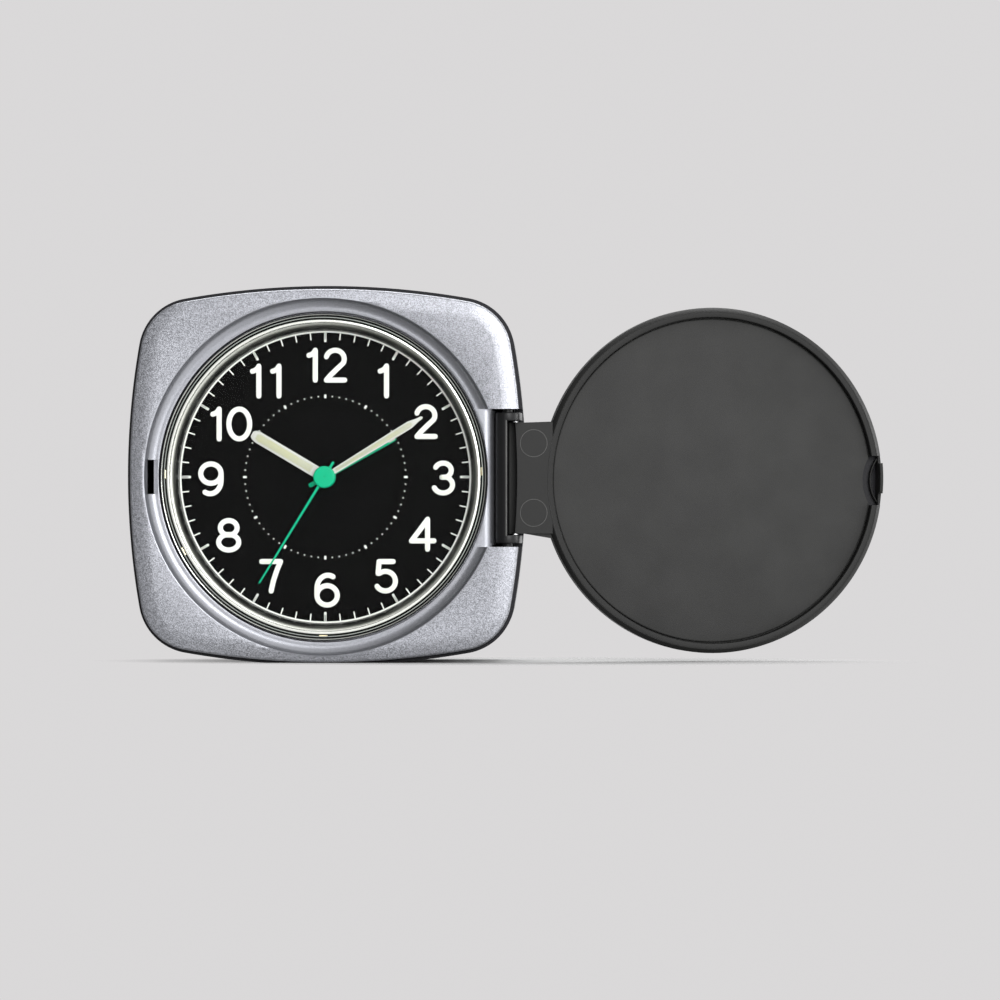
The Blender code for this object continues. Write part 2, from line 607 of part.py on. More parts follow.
def driven_gear(axis, teeth, module, front, towards):
    """Teeth with a space facing the wheel that lies in the opposite direction."""
    return gear(axis, teeth, module, front, towards + math.pi + math.pi / teeth)


def arbor(axis, radius, front, back):
    """A round arbor with a thinner pivot at each end."""
    length = MIDDLE_PLATE_THICKNESS
    section = [(0.0, front), (PIVOT_RADIUS, front), (PIVOT_RADIUS, front + length),
               (radius, front + length), (radius, back - length), (PIVOT_RADIUS, back - length),
               (PIVOT_RADIUS, back), (0.0, back)]
    return turned(section, axis, sides=ARBOR_SIDES)


def fold_out(mesh):
    """Turn a shape drawn on the closed lid to the open lid's place."""
    closed = Vector((LID_AXIS_CLOSED[0], LID_AXIS_CLOSED[1], 0.0))
    opened = Vector((LID_AXIS[0], LID_AXIS[1], 0.0))
    turn = Matrix.Rotation(LID_OPENING, 4, "Z")
    mesh.transform(Matrix.Translation(opened) @ turn @ Matrix.Translation(-closed))
    return mesh


def finish(name, colour, roughness, metallic=0.0, alpha=1.0):
    """A Principled material."""
    material = bpy.data.materials.new(name)
    material.use_nodes = True
    shader = material.node_tree.nodes["Principled BSDF"]
    shader.inputs["Base Color"].default_value = (*colour, 1.0)
    shader.inputs["Roughness"].default_value = roughness
    shader.inputs["Metallic"].default_value = metallic
    shader.inputs["Alpha"].default_value = alpha
    material.diffuse_color = (*colour, alpha)
    return material


def add_object(name, mesh, pivot=(0.0, 0.0, 0.0), collection=None):
    """Put a shape in the scene with its origin at the pivot."""
    bmesh.ops.translate(mesh, verts=mesh.verts, vec=-Vector(pivot))
    data = bpy.data.meshes.new(name)
    mesh.to_mesh(data)
    mesh.free()
    data.shade_smooth()
    data.set_sharp_from_angle(angle=SHARP_ANGLE)
    item = bpy.data.objects.new(name, data)
    item.location = pivot
    (collection or bpy.context.collection).objects.link(item)
    return item


def hide(item):
    """Mark an object as a helper that is no sub-part."""
    item.hide_render = True
    item.display_type = "WIRE"
    return item


def combine(item, shapes, operation):
    """Join shapes to an object, or cut them from it, all in one Boolean modifier."""
    if not shapes:
        return item
    group = bpy.data.collections.new(f"{item.name}.{operation.lower()}")
    bpy.context.scene.collection.children.link(group)
    for number, shape in enumerate(shapes):
        if isinstance(shape, bpy.types.Object):
            group.objects.link(shape)
        else:
            hide(add_object(f"{group.name}.{number}", shape, collection=group))
    modifier = item.modifiers.new(group.name, "BOOLEAN")
    modifier.operation = operation
    modifier.solver = "EXACT"
    modifier.operand_type = "COLLECTION"
    modifier.collection = group
    return item


def piece(name, mesh, material, join=(), cut=(), pivot=(0.0, 0.0, 0.0)):
    """One sub-part: a base shape, the shapes joined to it and those cut from it."""
    item = add_object(name, mesh, pivot)
    item.data.materials.append(material)
    combine(item, join, "UNION")
    combine(item, cut, "DIFFERENCE")
    return item


def screw_places():
    """Where the four case screws run, as (x, z)."""
    upper = CASE_TOP_Z - SCREW_DROP
    lower = CASE_CENTRE_Z - LOWER_SCREW_BELOW_CASE_CENTRE
    return ((-SCREW_X, upper), (SCREW_X, upper), (-LOWER_SCREW_X, lower), (LOWER_SCREW_X, lower))


def hinge_span(half_height):
    """The heights between which a piece of the hinge lies."""
    return (HINGE_Z - half_height, HINGE_Z + half_height)


def hinge_stub_holes(reach):
    """Cutters for the link's two stubs, in the walls above and below it."""
    radius = STUB_RADIUS + RUNNING_GAP
    low, high = hinge_span(NOTCH_HALF_HEIGHT)
    return [rod(LINK_AXIS, radius, high - OVERRUN, high + reach, "Z"),
            rod(LINK_AXIS, radius, low - reach, low + OVERRUN, "Z")]


def front_bezel(material):
    """Silver front: recess for the lid, bore for the crystal, catch pocket, hinge notch, posts."""
    plate = rounded_cushion(BEZEL_INSET, FRONT_Y, SEAM_Y, BEZEL_EDGE_RADIUS, True)
    collar_back = DIAL_BACK_Y + GAP
    ledge_back = DIAL_Y - GAP
    collar = rod(CENTRE_AXIS, BORE_RADIUS + COLLAR_WALL, (LAND_Y + SEAM_Y) / 2, collar_back,
                 sides=RING_SIDES)
    wall_low, wall_high = hinge_span(NOTCH_HALF_HEIGHT - GAP)
    hinge_wall = block((NOTCH_LEFT_X - 2 * HINGE_WALL, NOTCH_LEFT_X), (LAND_Y, collar_back),
                       (wall_low, wall_high))
    posts = [rod(at, POST_RADIUS, SEAM_Y - OVERRUN, POST_BACK_Y, sides=ARBOR_SIDES)
             for at in screw_places()]
    face_clear = FRONT_Y - OVERRUN
    recess = turned(
        [(0.0, face_clear), (RECESS_LIP_RADIUS + RECESS_BLEND, face_clear),
         (RECESS_LIP_RADIUS + RECESS_BLEND, FRONT_Y), (RECESS_LIP_RADIUS, FRONT_Y + RECESS_BLEND),
         (LAND_RADIUS, LAND_Y), (BORE_RADIUS, LAND_Y), (BORE_RADIUS, ledge_back - LEDGE_THICKNESS),
         (BORE_RADIUS - LEDGE_WIDTH, ledge_back - LEDGE_THICKNESS),
         (BORE_RADIUS - LEDGE_WIDTH, ledge_back), (BORE_RADIUS, ledge_back),
         (BORE_RADIUS, collar_back + OVERRUN), (0.0, collar_back + OVERRUN)],
        CENTRE_AXIS, sides=RING_SIDES)
    notch_low, notch_high = hinge_span(NOTCH_HALF_HEIGHT)
    far_right = CASE_HALF_WIDTH + OVERRUN
    notch_through = block((NOTCH_LEFT_X, far_right), (face_clear, collar_back + OVERRUN),
                          (notch_low, notch_high))
    roll_left = NOTCH_LEFT_X - ROLL_RADIUS
    inner_end = min(roll_left - ROLL_RADIUS, LAND_RADIUS)
    over_roll = [(inner_end, face_clear), (far_right, face_clear),
                 (far_right, LAND_Y + ROLL_RADIUS)]
    over_roll += arc((roll_left, LAND_Y + ROLL_RADIUS), ROLL_RADIUS, 0.0, -math.pi / 2,
                     ROUNDING_STEPS)
    over_roll += [(inner_end, LAND_Y)]
    notch_shallow = prism(over_roll, notch_low, notch_high, "Z")
    catch = block((-CATCH_CENTRE_RADIUS - CATCH_WIDTH / 2, -CATCH_CENTRE_RADIUS + CATCH_WIDTH / 2),
                  (face_clear, LAND_Y + CATCH_DEPTH),
                  (DIAL_Z - CATCH_HALF_HEIGHT, DIAL_Z + CATCH_HALF_HEIGHT))
    pilots = [rod(at, SCREW_SHANK_RADIUS + RUNNING_GAP, POST_BACK_Y - SCREW_LENGTH,
                  POST_BACK_Y + OVERRUN, sides=ARBOR_SIDES) for at in screw_places()]
    cuts = [recess, notch_through, notch_shallow, catch] + pilots
    cuts += hinge_stub_holes(STUB_LENGTH)
    return piece("front_bezel", plate, material, join=[collar, hinge_wall] + posts,
                 cut=cuts)


def knob_axes():
    """The axes of the two knobs on the back."""
    return (MINUTE_WHEEL_AXIS, ALARM_SETTING_AXIS)


def case_cavity():
    """The room inside the case, less the walls, bosses and blocks that stand in it."""
    cavity = rounded_cushion(CASE_WALL, CASE_FRONT_Y - OVERRUN, BACK_WALL_Y,
                             BACK_EDGE_RADIUS - CASE_WALL, False)
    item = hide(add_object("case_cavity", cavity))
    far_right = CASE_HALF_WIDTH + OVERRUN
    floor_y = FRONT_Y + NOTCH_FLOOR_DEPTH
    block_left = NOTCH_LEFT_X - HINGE_WALL
    low, high = hinge_span(NOTCH_HALF_HEIGHT + NOTCH_WALL)
    notch_low, notch_high = hinge_span(NOTCH_HALF_HEIGHT)
    block_back = floor_y + NOTCH_WALL
    collar_clear = DIAL_BACK_Y + 2 * GAP
    kept = [
        block((block_left, far_right), (collar_clear, block_back), (low, high)),
        block((block_left, far_right), (FRONT_Y, block_back), (notch_high, high)),
        block((block_left, far_right), (FRONT_Y, block_back), (low, notch_low)),
        block((-TROUGH_HALF_WIDTH - TROUGH_WALL, TROUGH_HALF_WIDTH + TROUGH_WALL),
              (TROUGH_FRONT_Y - TROUGH_WALL, BACK_Y),
              (-OVERRUN, TROUGH_TOP_Z + TROUGH_WALL)),
        block((-SHELF_HALF_WIDTH, SHELF_HALF_WIDTH), (SNOOZE_FRONT_Y, BACK_Y),
              (SHELF_HEIGHT, SHELF_TOP_Z)),
    ]
    kept += [rod(at, BOSS_RADIUS, POST_BACK_Y + GAP, BACK_Y, sides=ARBOR_SIDES)
             for at in screw_places()]
    kept += [rod(at, WELL_RADIUS + CASE_WALL, WELL_FLOOR_Y - CASE_WALL, BACK_Y,
                 sides=BODY_SIDES) for at in knob_axes()]
    return combine(item, kept, "DIFFERENCE")


def rear_case(material):
    """Black case: shell, battery trough, screw bosses, knob wells, hinge pocket and openings."""
    shell = rounded_cushion(0.0, CASE_FRONT_Y, BACK_Y, BACK_EDGE_RADIUS, False)
    far = CASE_HALF_WIDTH + OVERRUN
    below = block((-far, far), (FRONT_Y, BACK_Y + OVERRUN), (-FOOT_CUT - OVERRUN, 0.0))
    back_clear = BACK_Y + OVERRUN
    cuts = [
        below,
        case_cavity(),
        block((NOTCH_LEFT_X, far), (FRONT_Y, FRONT_Y + NOTCH_FLOOR_DEPTH),
              hinge_span(NOTCH_HALF_HEIGHT)),
        block((-TROUGH_HALF_WIDTH, TROUGH_HALF_WIDTH), (TROUGH_FRONT_Y, back_clear),
              (TROUGH_BOTTOM_Z, TROUGH_TOP_Z)),
        block((-THUMB_NOTCH_HALF_WIDTH, THUMB_NOTCH_HALF_WIDTH),
              (BACK_Y - THUMB_NOTCH_DEPTH, back_clear),
              (CELL_CENTRE_HEIGHT, TROUGH_TOP_Z + THUMB_NOTCH_HEIGHT)),
    ]
    cuts += hinge_stub_holes(STUB_LENGTH)
    boss_floor_y = POST_BACK_Y + GAP + BOSS_FLOOR
    for at in screw_places():
        cuts.append(rod(at, COUNTERBORE_RADIUS, boss_floor_y, back_clear, sides=ARBOR_SIDES))
        cuts.append(rod(at, SCREW_SHANK_RADIUS + GAP, POST_BACK_Y, boss_floor_y + OVERRUN,
                        sides=ARBOR_SIDES))
    for at in knob_axes():
        cuts.append(rod(at, WELL_RADIUS, WELL_FLOOR_Y, back_clear, sides=BODY_SIDES))
        cuts.append(rod(at, KNOB_STEM_RADIUS + RUNNING_GAP, WELL_FLOOR_Y - CASE_WALL - OVERRUN,
                        WELL_FLOOR_Y + OVERRUN))
    cuts += sound_holes(back_clear)
    cuts.append(switch_slot(back_clear))
    cuts.append(block((-SNOOZE_HALF_WIDTH - GAP, SNOOZE_HALF_WIDTH + GAP),
                      (SNOOZE_FRONT_Y - GAP, SNOOZE_FRONT_Y + SNOOZE_DEPTH + GAP),
                      (SHELF_TOP_Z + OVERRUN, 2 * CASE_HALF_HEIGHT)))
    cuts.append(rod((0.0, SNOOZE_Y), SNOOZE_STEM_RADIUS + GAP, SHELF_HEIGHT - OVERRUN,
                    SHELF_TOP_Z + OVERRUN, "Z"))
    return piece("rear_case", shell, material, cut=cuts)


def sound_holes(back_clear):
    """Cutters for a ring of holes and one in the middle, behind the buzzer."""
    places = [BUZZER_AXIS] + circle(BUZZER_AXIS, SOUND_HOLE_RING_RADIUS, SOUND_HOLE_COUNT)
    return [rod(at, SOUND_HOLE_RADIUS, BACK_WALL_Y - OVERRUN, back_clear, sides=ARBOR_SIDES)
            for at in places]


def switch_slot(back_clear):
    """Cutter for the slot that the alarm switch slides in."""
    height = DIAL_Z + SWITCH_ABOVE_CENTRE
    return block((SWITCH_X - SWITCH_HALF_WIDTH - GAP,
                  SWITCH_X + SWITCH_HALF_WIDTH + SWITCH_TRAVEL + GAP),
                 (BACK_WALL_Y - OVERRUN, back_clear),
                 (height - SWITCH_HALF_HEIGHT - GAP, height + SWITCH_HALF_HEIGHT + GAP))


def crystal(material):
    """Clear cup over the dial: a flat window with a skirt behind its edge."""
    radius = BORE_RADIUS - GAP
    skirt_back = DIAL_Y - 2 * GAP - LEDGE_THICKNESS
    section = [(0.0, LAND_Y), (radius, LAND_Y), (radius, skirt_back),
               (radius - CRYSTAL_SKIRT_WALL, skirt_back),
               (radius - CRYSTAL_SKIRT_WALL, CRYSTAL_BACK_Y), (0.0, CRYSTAL_BACK_Y)]
    return piece("crystal", turned(section, CENTRE_AXIS, sides=RING_SIDES), material)


def dial_flange(material):
    """Conical ring between the crystal and the minute track."""
    front = CRYSTAL_BACK_Y + GAP
    back = DIAL_Y - GAP
    section = [(FLANGE_RADIUS - FLANGE_TOP_WIDTH, front), (FLANGE_RADIUS, front),
               (FLANGE_RADIUS, back), (FLANGE_FOOT_RADIUS, back)]
    return piece("dial_flange", turned(section, CENTRE_AXIS, sides=RING_SIDES), material)


def dial_plate(material):
    """Black dial with a hole for the hands' pipes."""
    ring = tube(CENTRE_AXIS, ALARM_PIPE_RADIUS + RUNNING_GAP, BORE_RADIUS - GAP, DIAL_Y,
                DIAL_BACK_Y, sides=RING_SIDES)
    return piece("dial_plate", ring, material)


def hand_outline(clock_angle, stations):
    """A hand's outline from (distance, half width) stations, pointing at a clock angle."""
    along = (math.sin(clock_angle), math.cos(clock_angle))
    points = []
    for side, row in ((-1, stations), (1, reversed(stations))):
        for distance, half_width in row:
            points.append((distance * along[0] + side * half_width * along[1],
                           DIAL_Z + distance * along[1] - side * half_width * along[0]))
    return points


def hand(name, level, clock_angle, stations, hub_radius, pipe_radius, material):
    """A flat hand with a round hub on its pipe, at a level counted from the dial."""
    back = DIAL_Y - HAND_FLOOR - level * HAND_PITCH
    front = back - HAND_THICKNESS
    blade = prism(hand_outline(clock_angle, stations), front, back)
    hub = rod(CENTRE_AXIS, hub_radius, front, back)
    bore = rod(CENTRE_AXIS, pipe_radius + HAND_FIT_GAP, front - OVERRUN, back + OVERRUN)
    return piece(name, blade, material, join=[hub], cut=[bore], pivot=place(*CENTRE_AXIS, 0.0, "Y"))


def hands(green, white):
    """Alarm, hour, minute and second hands, from the dial outwards."""
    hand("alarm_hand", 0, ALARM_CLOCK_ANGLE,
         [(-ALARM_TAIL_LENGTH, ALARM_HAND_HALF_WIDTH), (ALARM_HAND_LENGTH, ALARM_HAND_HALF_WIDTH)],
         ALARM_HUB_RADIUS, ALARM_PIPE_RADIUS, green)
    hand("hour_hand", 1, HOUR_CLOCK_ANGLE,
         [(0.0, HOUR_HAND_HALF_WIDTH), (HOUR_HAND_LENGTH - HOUR_TIP_LENGTH, HOUR_HAND_HALF_WIDTH),
          (HOUR_HAND_LENGTH, HOUR_TIP_HALF_WIDTH)], HOUR_HUB_RADIUS, HOUR_PIPE_RADIUS, white)
    hand("minute_hand", 2, MINUTE_CLOCK_ANGLE,
         [(0.0, MINUTE_ROOT_HALF_WIDTH),
          (MINUTE_HAND_LENGTH - MINUTE_TIP_LENGTH, MINUTE_HAND_HALF_WIDTH),
          (MINUTE_HAND_LENGTH - MINUTE_TIP_LENGTH / 2, MINUTE_TIP_HALF_WIDTH),
          (MINUTE_HAND_LENGTH, MINUTE_TIP_HALF_WIDTH)], MINUTE_HUB_RADIUS, MINUTE_PIPE_RADIUS, white)
    second_back = DIAL_Y - HAND_FLOOR - 3 * HAND_PITCH
    outline = hand_outline(SECOND_CLOCK_ANGLE, [(-SECOND_TAIL_LENGTH, SECOND_ROOT_HALF_WIDTH),
                                                (SECOND_HAND_LENGTH, SECOND_TIP_HALF_WIDTH)])
    cap = rod(CENTRE_AXIS, SECOND_CAP_RADIUS, second_back - SECOND_CAP_HEIGHT, second_back)
    socket = rod(CENTRE_AXIS, SECOND_ARBOR_RADIUS + HAND_FIT_GAP, second_back - HAND_THICKNESS,
                 second_back + OVERRUN, sides=ARBOR_SIDES)
    piece("second_hand", prism(outline, second_back - HAND_THICKNESS, second_back), green,
          join=[cap], cut=[socket], pivot=place(*CENTRE_AXIS, 0.0, "Y"))


def hand_front(level):
    """How far forward the pipe or arbor of a hand reaches."""
    return DIAL_Y - HAND_FLOOR - level * HAND_PITCH - HAND_THICKNESS - PIPE_STAND_OUT


def plate_outline():
    """The outline that the three movement plates share."""
    return rounded_rectangle(-PLATE_HALF_WIDTH, PLATE_HALF_WIDTH, PLATE_BOTTOM_Z, PLATE_TOP_Z,
                             PLATE_CORNER_RADIUS)


def pillar_places():
    """The pillars near the corners of the plates, as (x, z)."""
    x = PLATE_HALF_WIDTH - PILLAR_EDGE_DISTANCE
    bottom = PLATE_BOTTOM_Z + PILLAR_EDGE_DISTANCE
    top = PLATE_TOP_Z - PILLAR_EDGE_DISTANCE
    return ((-x, bottom), (x, bottom), (-x, top), (x, top))


def plate_holes(front, back, places):
    """Cutters for round holes through a plate, each with its shaft's radius."""
    return [rod(at, radius + RUNNING_GAP, front - OVERRUN, back + OVERRUN, sides=PIPE_SIDES)
            for at, radius in places]


def movement_plates(material):
    """Front plate with pillars, middle plate on their shoulders and rear plate on their ends."""
    shoulder = MIDDLE_PLATE_Y - GAP
    end = REAR_PLATE_Y - GAP
    pillars = [turned([(0.0, FRONT_PLATE_Y + PLATE_THICKNESS / 2),
                       (PILLAR_RADIUS, FRONT_PLATE_Y + PLATE_THICKNESS / 2),
                       (PILLAR_RADIUS, shoulder), (PILLAR_NECK_RADIUS, shoulder),
                       (PILLAR_NECK_RADIUS, end), (0.0, end)], at, sides=ARBOR_SIDES)
               for at in pillar_places()]
    piece("movement_front_plate", prism(plate_outline(), FRONT_PLATE_Y, FRONT_PLATE_BACK_Y),
          material, join=pillars,
          cut=plate_holes(FRONT_PLATE_Y, FRONT_PLATE_BACK_Y,
                          [(CENTRE_AXIS, ALARM_PIPE_RADIUS), (MINUTE_WHEEL_AXIS, PIVOT_RADIUS),
                           (ALARM_SETTING_AXIS, PIVOT_RADIUS)]))
    neck_holes = [(at, PILLAR_NECK_RADIUS) for at in pillar_places()]
    train = [(axis, PIVOT_RADIUS) for axis in (THIRD_AXIS, INTERMEDIATE_AXIS, ROTOR_AXIS)]
    setting = [(axis, SETTING_ARBOR_RADIUS) for axis in knob_axes()]
    piece("movement_middle_plate", prism(plate_outline(), MIDDLE_PLATE_Y, MIDDLE_PLATE_BACK_Y),
          material, cut=plate_holes(MIDDLE_PLATE_Y, MIDDLE_PLATE_BACK_Y,
                                    [(CENTRE_AXIS, MINUTE_PIPE_RADIUS)] + neck_holes + train + setting))
    piece("movement_rear_plate", prism(plate_outline(), REAR_PLATE_Y, REAR_PLATE_BACK_Y), material,
          cut=plate_holes(REAR_PLATE_Y, REAR_PLATE_BACK_Y,
                          [(CENTRE_AXIS, SECOND_ARBOR_RADIUS)] + train + setting))


def motion_work(plastic):
    """Alarm wheel, hour wheel, centre wheel with its cannon pinion, and minute wheel."""
    pivot = place(*CENTRE_AXIS, 0.0, "Y")
    alarm_back = ALARM_LAYER_Y + WHEEL_THICKNESS
    piece("alarm_wheel",
          driven_gear(CENTRE_AXIS, ALARM_WHEEL_TEETH, MOTION_MODULE, ALARM_LAYER_Y,
                      ALARM_PINION_ANGLE + math.pi), plastic,
          join=[rod(CENTRE_AXIS, ALARM_PIPE_RADIUS, hand_front(0), alarm_back)],
          cut=[rod(CENTRE_AXIS, ALARM_PIPE_BORE, hand_front(0) - OVERRUN, alarm_back + OVERRUN)],
          pivot=pivot)
    hour_back = HOUR_LAYER_Y + WHEEL_THICKNESS
    piece("hour_wheel",
          driven_gear(CENTRE_AXIS, HOUR_WHEEL_TEETH, HOUR_MODULE, HOUR_LAYER_Y,
                      MINUTE_WHEEL_ANGLE + math.pi), plastic,
          join=[rod(CENTRE_AXIS, HOUR_PIPE_RADIUS, hand_front(1), hour_back)],
          cut=[rod(CENTRE_AXIS, HOUR_PIPE_BORE, hand_front(1) - OVERRUN, hour_back + OVERRUN)],
          pivot=pivot)
    centre_back = CENTRE_LAYER_Y + WHEEL_THICKNESS
    piece("centre_wheel",
          driven_gear(CENTRE_AXIS, CENTRE_WHEEL_TEETH, CENTRE_MODULE, CENTRE_LAYER_Y,
                      THIRD_WHEEL_ANGLE + math.pi), plastic,
          join=[rod(CENTRE_AXIS, MINUTE_PIPE_RADIUS, hand_front(2), centre_back),
                driving_gear(CENTRE_AXIS, CANNON_TEETH, MOTION_MODULE, CANNON_LAYER_Y,
                             MINUTE_WHEEL_ANGLE)],
          cut=[rod(CENTRE_AXIS, MINUTE_PIPE_BORE, hand_front(2) - OVERRUN, centre_back + OVERRUN,
                   sides=ARBOR_SIDES)],
          pivot=pivot)
    piece("minute_wheel",
          driven_gear(MINUTE_WHEEL_AXIS, MINUTE_WHEEL_TEETH, MOTION_MODULE, CANNON_LAYER_Y,
                      MINUTE_WHEEL_ANGLE), plastic,
          join=[setting_arbor(MINUTE_WHEEL_AXIS),
                driving_gear(MINUTE_WHEEL_AXIS, MINUTE_PINION_TEETH, HOUR_MODULE, HOUR_LAYER_Y,
                             MINUTE_WHEEL_ANGLE + math.pi),
                rod(MINUTE_WHEEL_AXIS, MOTION_MODULE * MINUTE_PINION_TEETH / 2 - MOTION_MODULE,
                    HOUR_LAYER_Y, CANNON_LAYER_Y + WHEEL_THICKNESS, sides=ARBOR_SIDES)],
          pivot=place(*MINUTE_WHEEL_AXIS, 0.0, "Y"))


def setting_arbor(axis):
    """An arbor from the front plate through the other plates into a knob's stem."""
    front = FRONT_PLATE_Y + GAP
    shoulder = FRONT_PLATE_BACK_Y + GAP
    back = WELL_FLOOR_Y - CASE_WALL
    section = [(0.0, front), (PIVOT_RADIUS, front), (PIVOT_RADIUS, shoulder),
               (SETTING_ARBOR_RADIUS, shoulder), (SETTING_ARBOR_RADIUS, back), (0.0, back)]
    return turned(section, axis, sides=ARBOR_SIDES)


def alarm_setting(plastic):
    """The alarm pinion on its own arbor."""
    piece("alarm_setting_pinion",
          driving_gear(ALARM_SETTING_AXIS, ALARM_PINION_TEETH, MOTION_MODULE, ALARM_LAYER_Y,
                       ALARM_PINION_ANGLE + math.pi), plastic,
          join=[setting_arbor(ALARM_SETTING_AXIS)], pivot=place(*ALARM_SETTING_AXIS, 0.0, "Y"))


def going_train(plastic, magnet):
    """Second, third and intermediate wheels, and the motor's rotor."""
    front = MIDDLE_PLATE_Y + GAP
    back = REAR_PLATE_BACK_Y - GAP
    second_arbor = turned(
        [(0.0, hand_front(3) + PIPE_STAND_OUT + HAND_FIT_GAP),
         (SECOND_ARBOR_RADIUS, hand_front(3) + PIPE_STAND_OUT + HAND_FIT_GAP),
         (SECOND_ARBOR_RADIUS, back), (0.0, back)], CENTRE_AXIS, sides=ARBOR_SIDES)
    piece("second_wheel",
          driving_gear(CENTRE_AXIS, SECOND_WHEEL_TEETH, SECOND_MODULE, SECOND_LAYER_Y,
                       INTERMEDIATE_ANGLE), plastic,
          join=[second_arbor,
                gear(CENTRE_AXIS, SECOND_PINION_TEETH, TRAIN_MODULE, THIRD_LAYER_Y,
                     THIRD_WHEEL_ANGLE)],
          pivot=place(*CENTRE_AXIS, 0.0, "Y"))
    piece("third_wheel",
          driven_gear(THIRD_AXIS, THIRD_WHEEL_TEETH, TRAIN_MODULE, THIRD_LAYER_Y,
                      THIRD_WHEEL_ANGLE), plastic,
          join=[arbor(THIRD_AXIS, ARBOR_RADIUS, front, back),
                driving_gear(THIRD_AXIS, THIRD_PINION_TEETH, CENTRE_MODULE, CENTRE_LAYER_Y,
                             THIRD_WHEEL_ANGLE + math.pi)],
          pivot=place(*THIRD_AXIS, 0.0, "Y"))
    piece("intermediate_wheel",
          driving_gear(INTERMEDIATE_AXIS, INTERMEDIATE_TEETH, TRAIN_MODULE, MOTOR_LAYER_Y,
                       ROTOR_ANGLE), plastic,
          join=[arbor(INTERMEDIATE_AXIS, FINE_ARBOR_RADIUS, front, back),
                driven_gear(INTERMEDIATE_AXIS, INTERMEDIATE_PINION_TEETH, SECOND_MODULE,
                            SECOND_LAYER_Y, INTERMEDIATE_ANGLE)],
          pivot=place(*INTERMEDIATE_AXIS, 0.0, "Y"))
    magnet_front = STATOR_Y + (STATOR_THICKNESS - MAGNET_THICKNESS) / 2
    piece("rotor",
          driven_gear(ROTOR_AXIS, ROTOR_PINION_TEETH, TRAIN_MODULE, MOTOR_LAYER_Y, ROTOR_ANGLE),
          magnet,
          join=[arbor(ROTOR_AXIS, FINE_ARBOR_RADIUS, front, back),
                rod(ROTOR_AXIS, MAGNET_RADIUS, magnet_front, magnet_front + MAGNET_THICKNESS)],
          pivot=place(*ROTOR_AXIS, 0.0, "Y"))


def stepping_motor(iron, plastic, copper):
    """Stator with the hole for the rotor, and the coil on its core below it."""
    coil_z = DIAL_Z - COIL_DROP
    coil_right_x = COIL_LEFT_X + COIL_LENGTH
    pad_left = ROTOR_AXIS[0] - STATOR_PAD_HALF_WIDTH
    pad_right = ROTOR_AXIS[0] + STATOR_PAD_HALF_WIDTH
    bar_bottom = coil_z + COIL_FLANGE_RADIUS + GAP
    bar_top = bar_bottom + STATOR_BAR_WIDTH
    pad_bottom = ROTOR_AXIS[1] - STATOR_PAD_HALF_WIDTH
    limb_right = COIL_LEFT_X - GAP
    limb_left = limb_right - STATOR_LIMB_WIDTH
    core_right = coil_right_x + CORE_OVERHANG
    outline = [(limb_left, coil_z - STATOR_BAR_WIDTH), (limb_right, coil_z - STATOR_BAR_WIDTH),
               (limb_right, bar_bottom), (pad_left, bar_bottom),
               (pad_left, coil_z + STATOR_BAR_WIDTH), (coil_right_x + GAP, coil_z + STATOR_BAR_WIDTH),
               (coil_right_x + GAP, coil_z - STATOR_BAR_WIDTH), (pad_left, coil_z - STATOR_BAR_WIDTH),
               (pad_left, pad_bottom), (pad_right, pad_bottom), (pad_right, bar_top),
               (limb_left, bar_top)]
    piece("stator", prism(outline, STATOR_Y, STATOR_Y + STATOR_THICKNESS), iron,
          cut=[rod(ROTOR_AXIS, MAGNET_RADIUS + STATOR_GAP, STATOR_Y - OVERRUN,
                   STATOR_Y + STATOR_THICKNESS + OVERRUN, sides=BODY_SIDES)])
    foot_depth = (COIL_Y, STATOR_Y - GAP)
    bar = block((limb_left, core_right), (COIL_Y - CORE_HALF_WIDTH, COIL_Y + CORE_HALF_WIDTH),
                (coil_z - CORE_HALF_WIDTH, coil_z + CORE_HALF_WIDTH))
    feet = [block((limb_left, limb_right), foot_depth,
                  (coil_z - CORE_HALF_WIDTH, coil_z + CORE_HALF_WIDTH)),
            block((coil_right_x + GAP, core_right), foot_depth,
                  (coil_z - CORE_HALF_WIDTH, coil_z + CORE_HALF_WIDTH))]
    piece("coil_core", bar, iron, join=feet)
    inner_left = COIL_LEFT_X + COIL_FLANGE_THICKNESS
    inner_right = coil_right_x - COIL_FLANGE_THICKNESS
    bobbin = [(BOBBIN_BORE, COIL_LEFT_X), (COIL_FLANGE_RADIUS, COIL_LEFT_X),
              (COIL_FLANGE_RADIUS, inner_left), (BOBBIN_RADIUS, inner_left),
              (BOBBIN_RADIUS, inner_right), (COIL_FLANGE_RADIUS, inner_right),
              (COIL_FLANGE_RADIUS, coil_right_x), (BOBBIN_BORE, coil_right_x)]
    piece("coil_bobbin", turned(bobbin, (COIL_Y, coil_z), "X"), plastic)
    piece("coil_winding", tube((COIL_Y, coil_z), BOBBIN_RADIUS + RUNNING_GAP, WINDING_RADIUS,
                               inner_left + RUNNING_GAP, inner_right - RUNNING_GAP, "X"), copper)


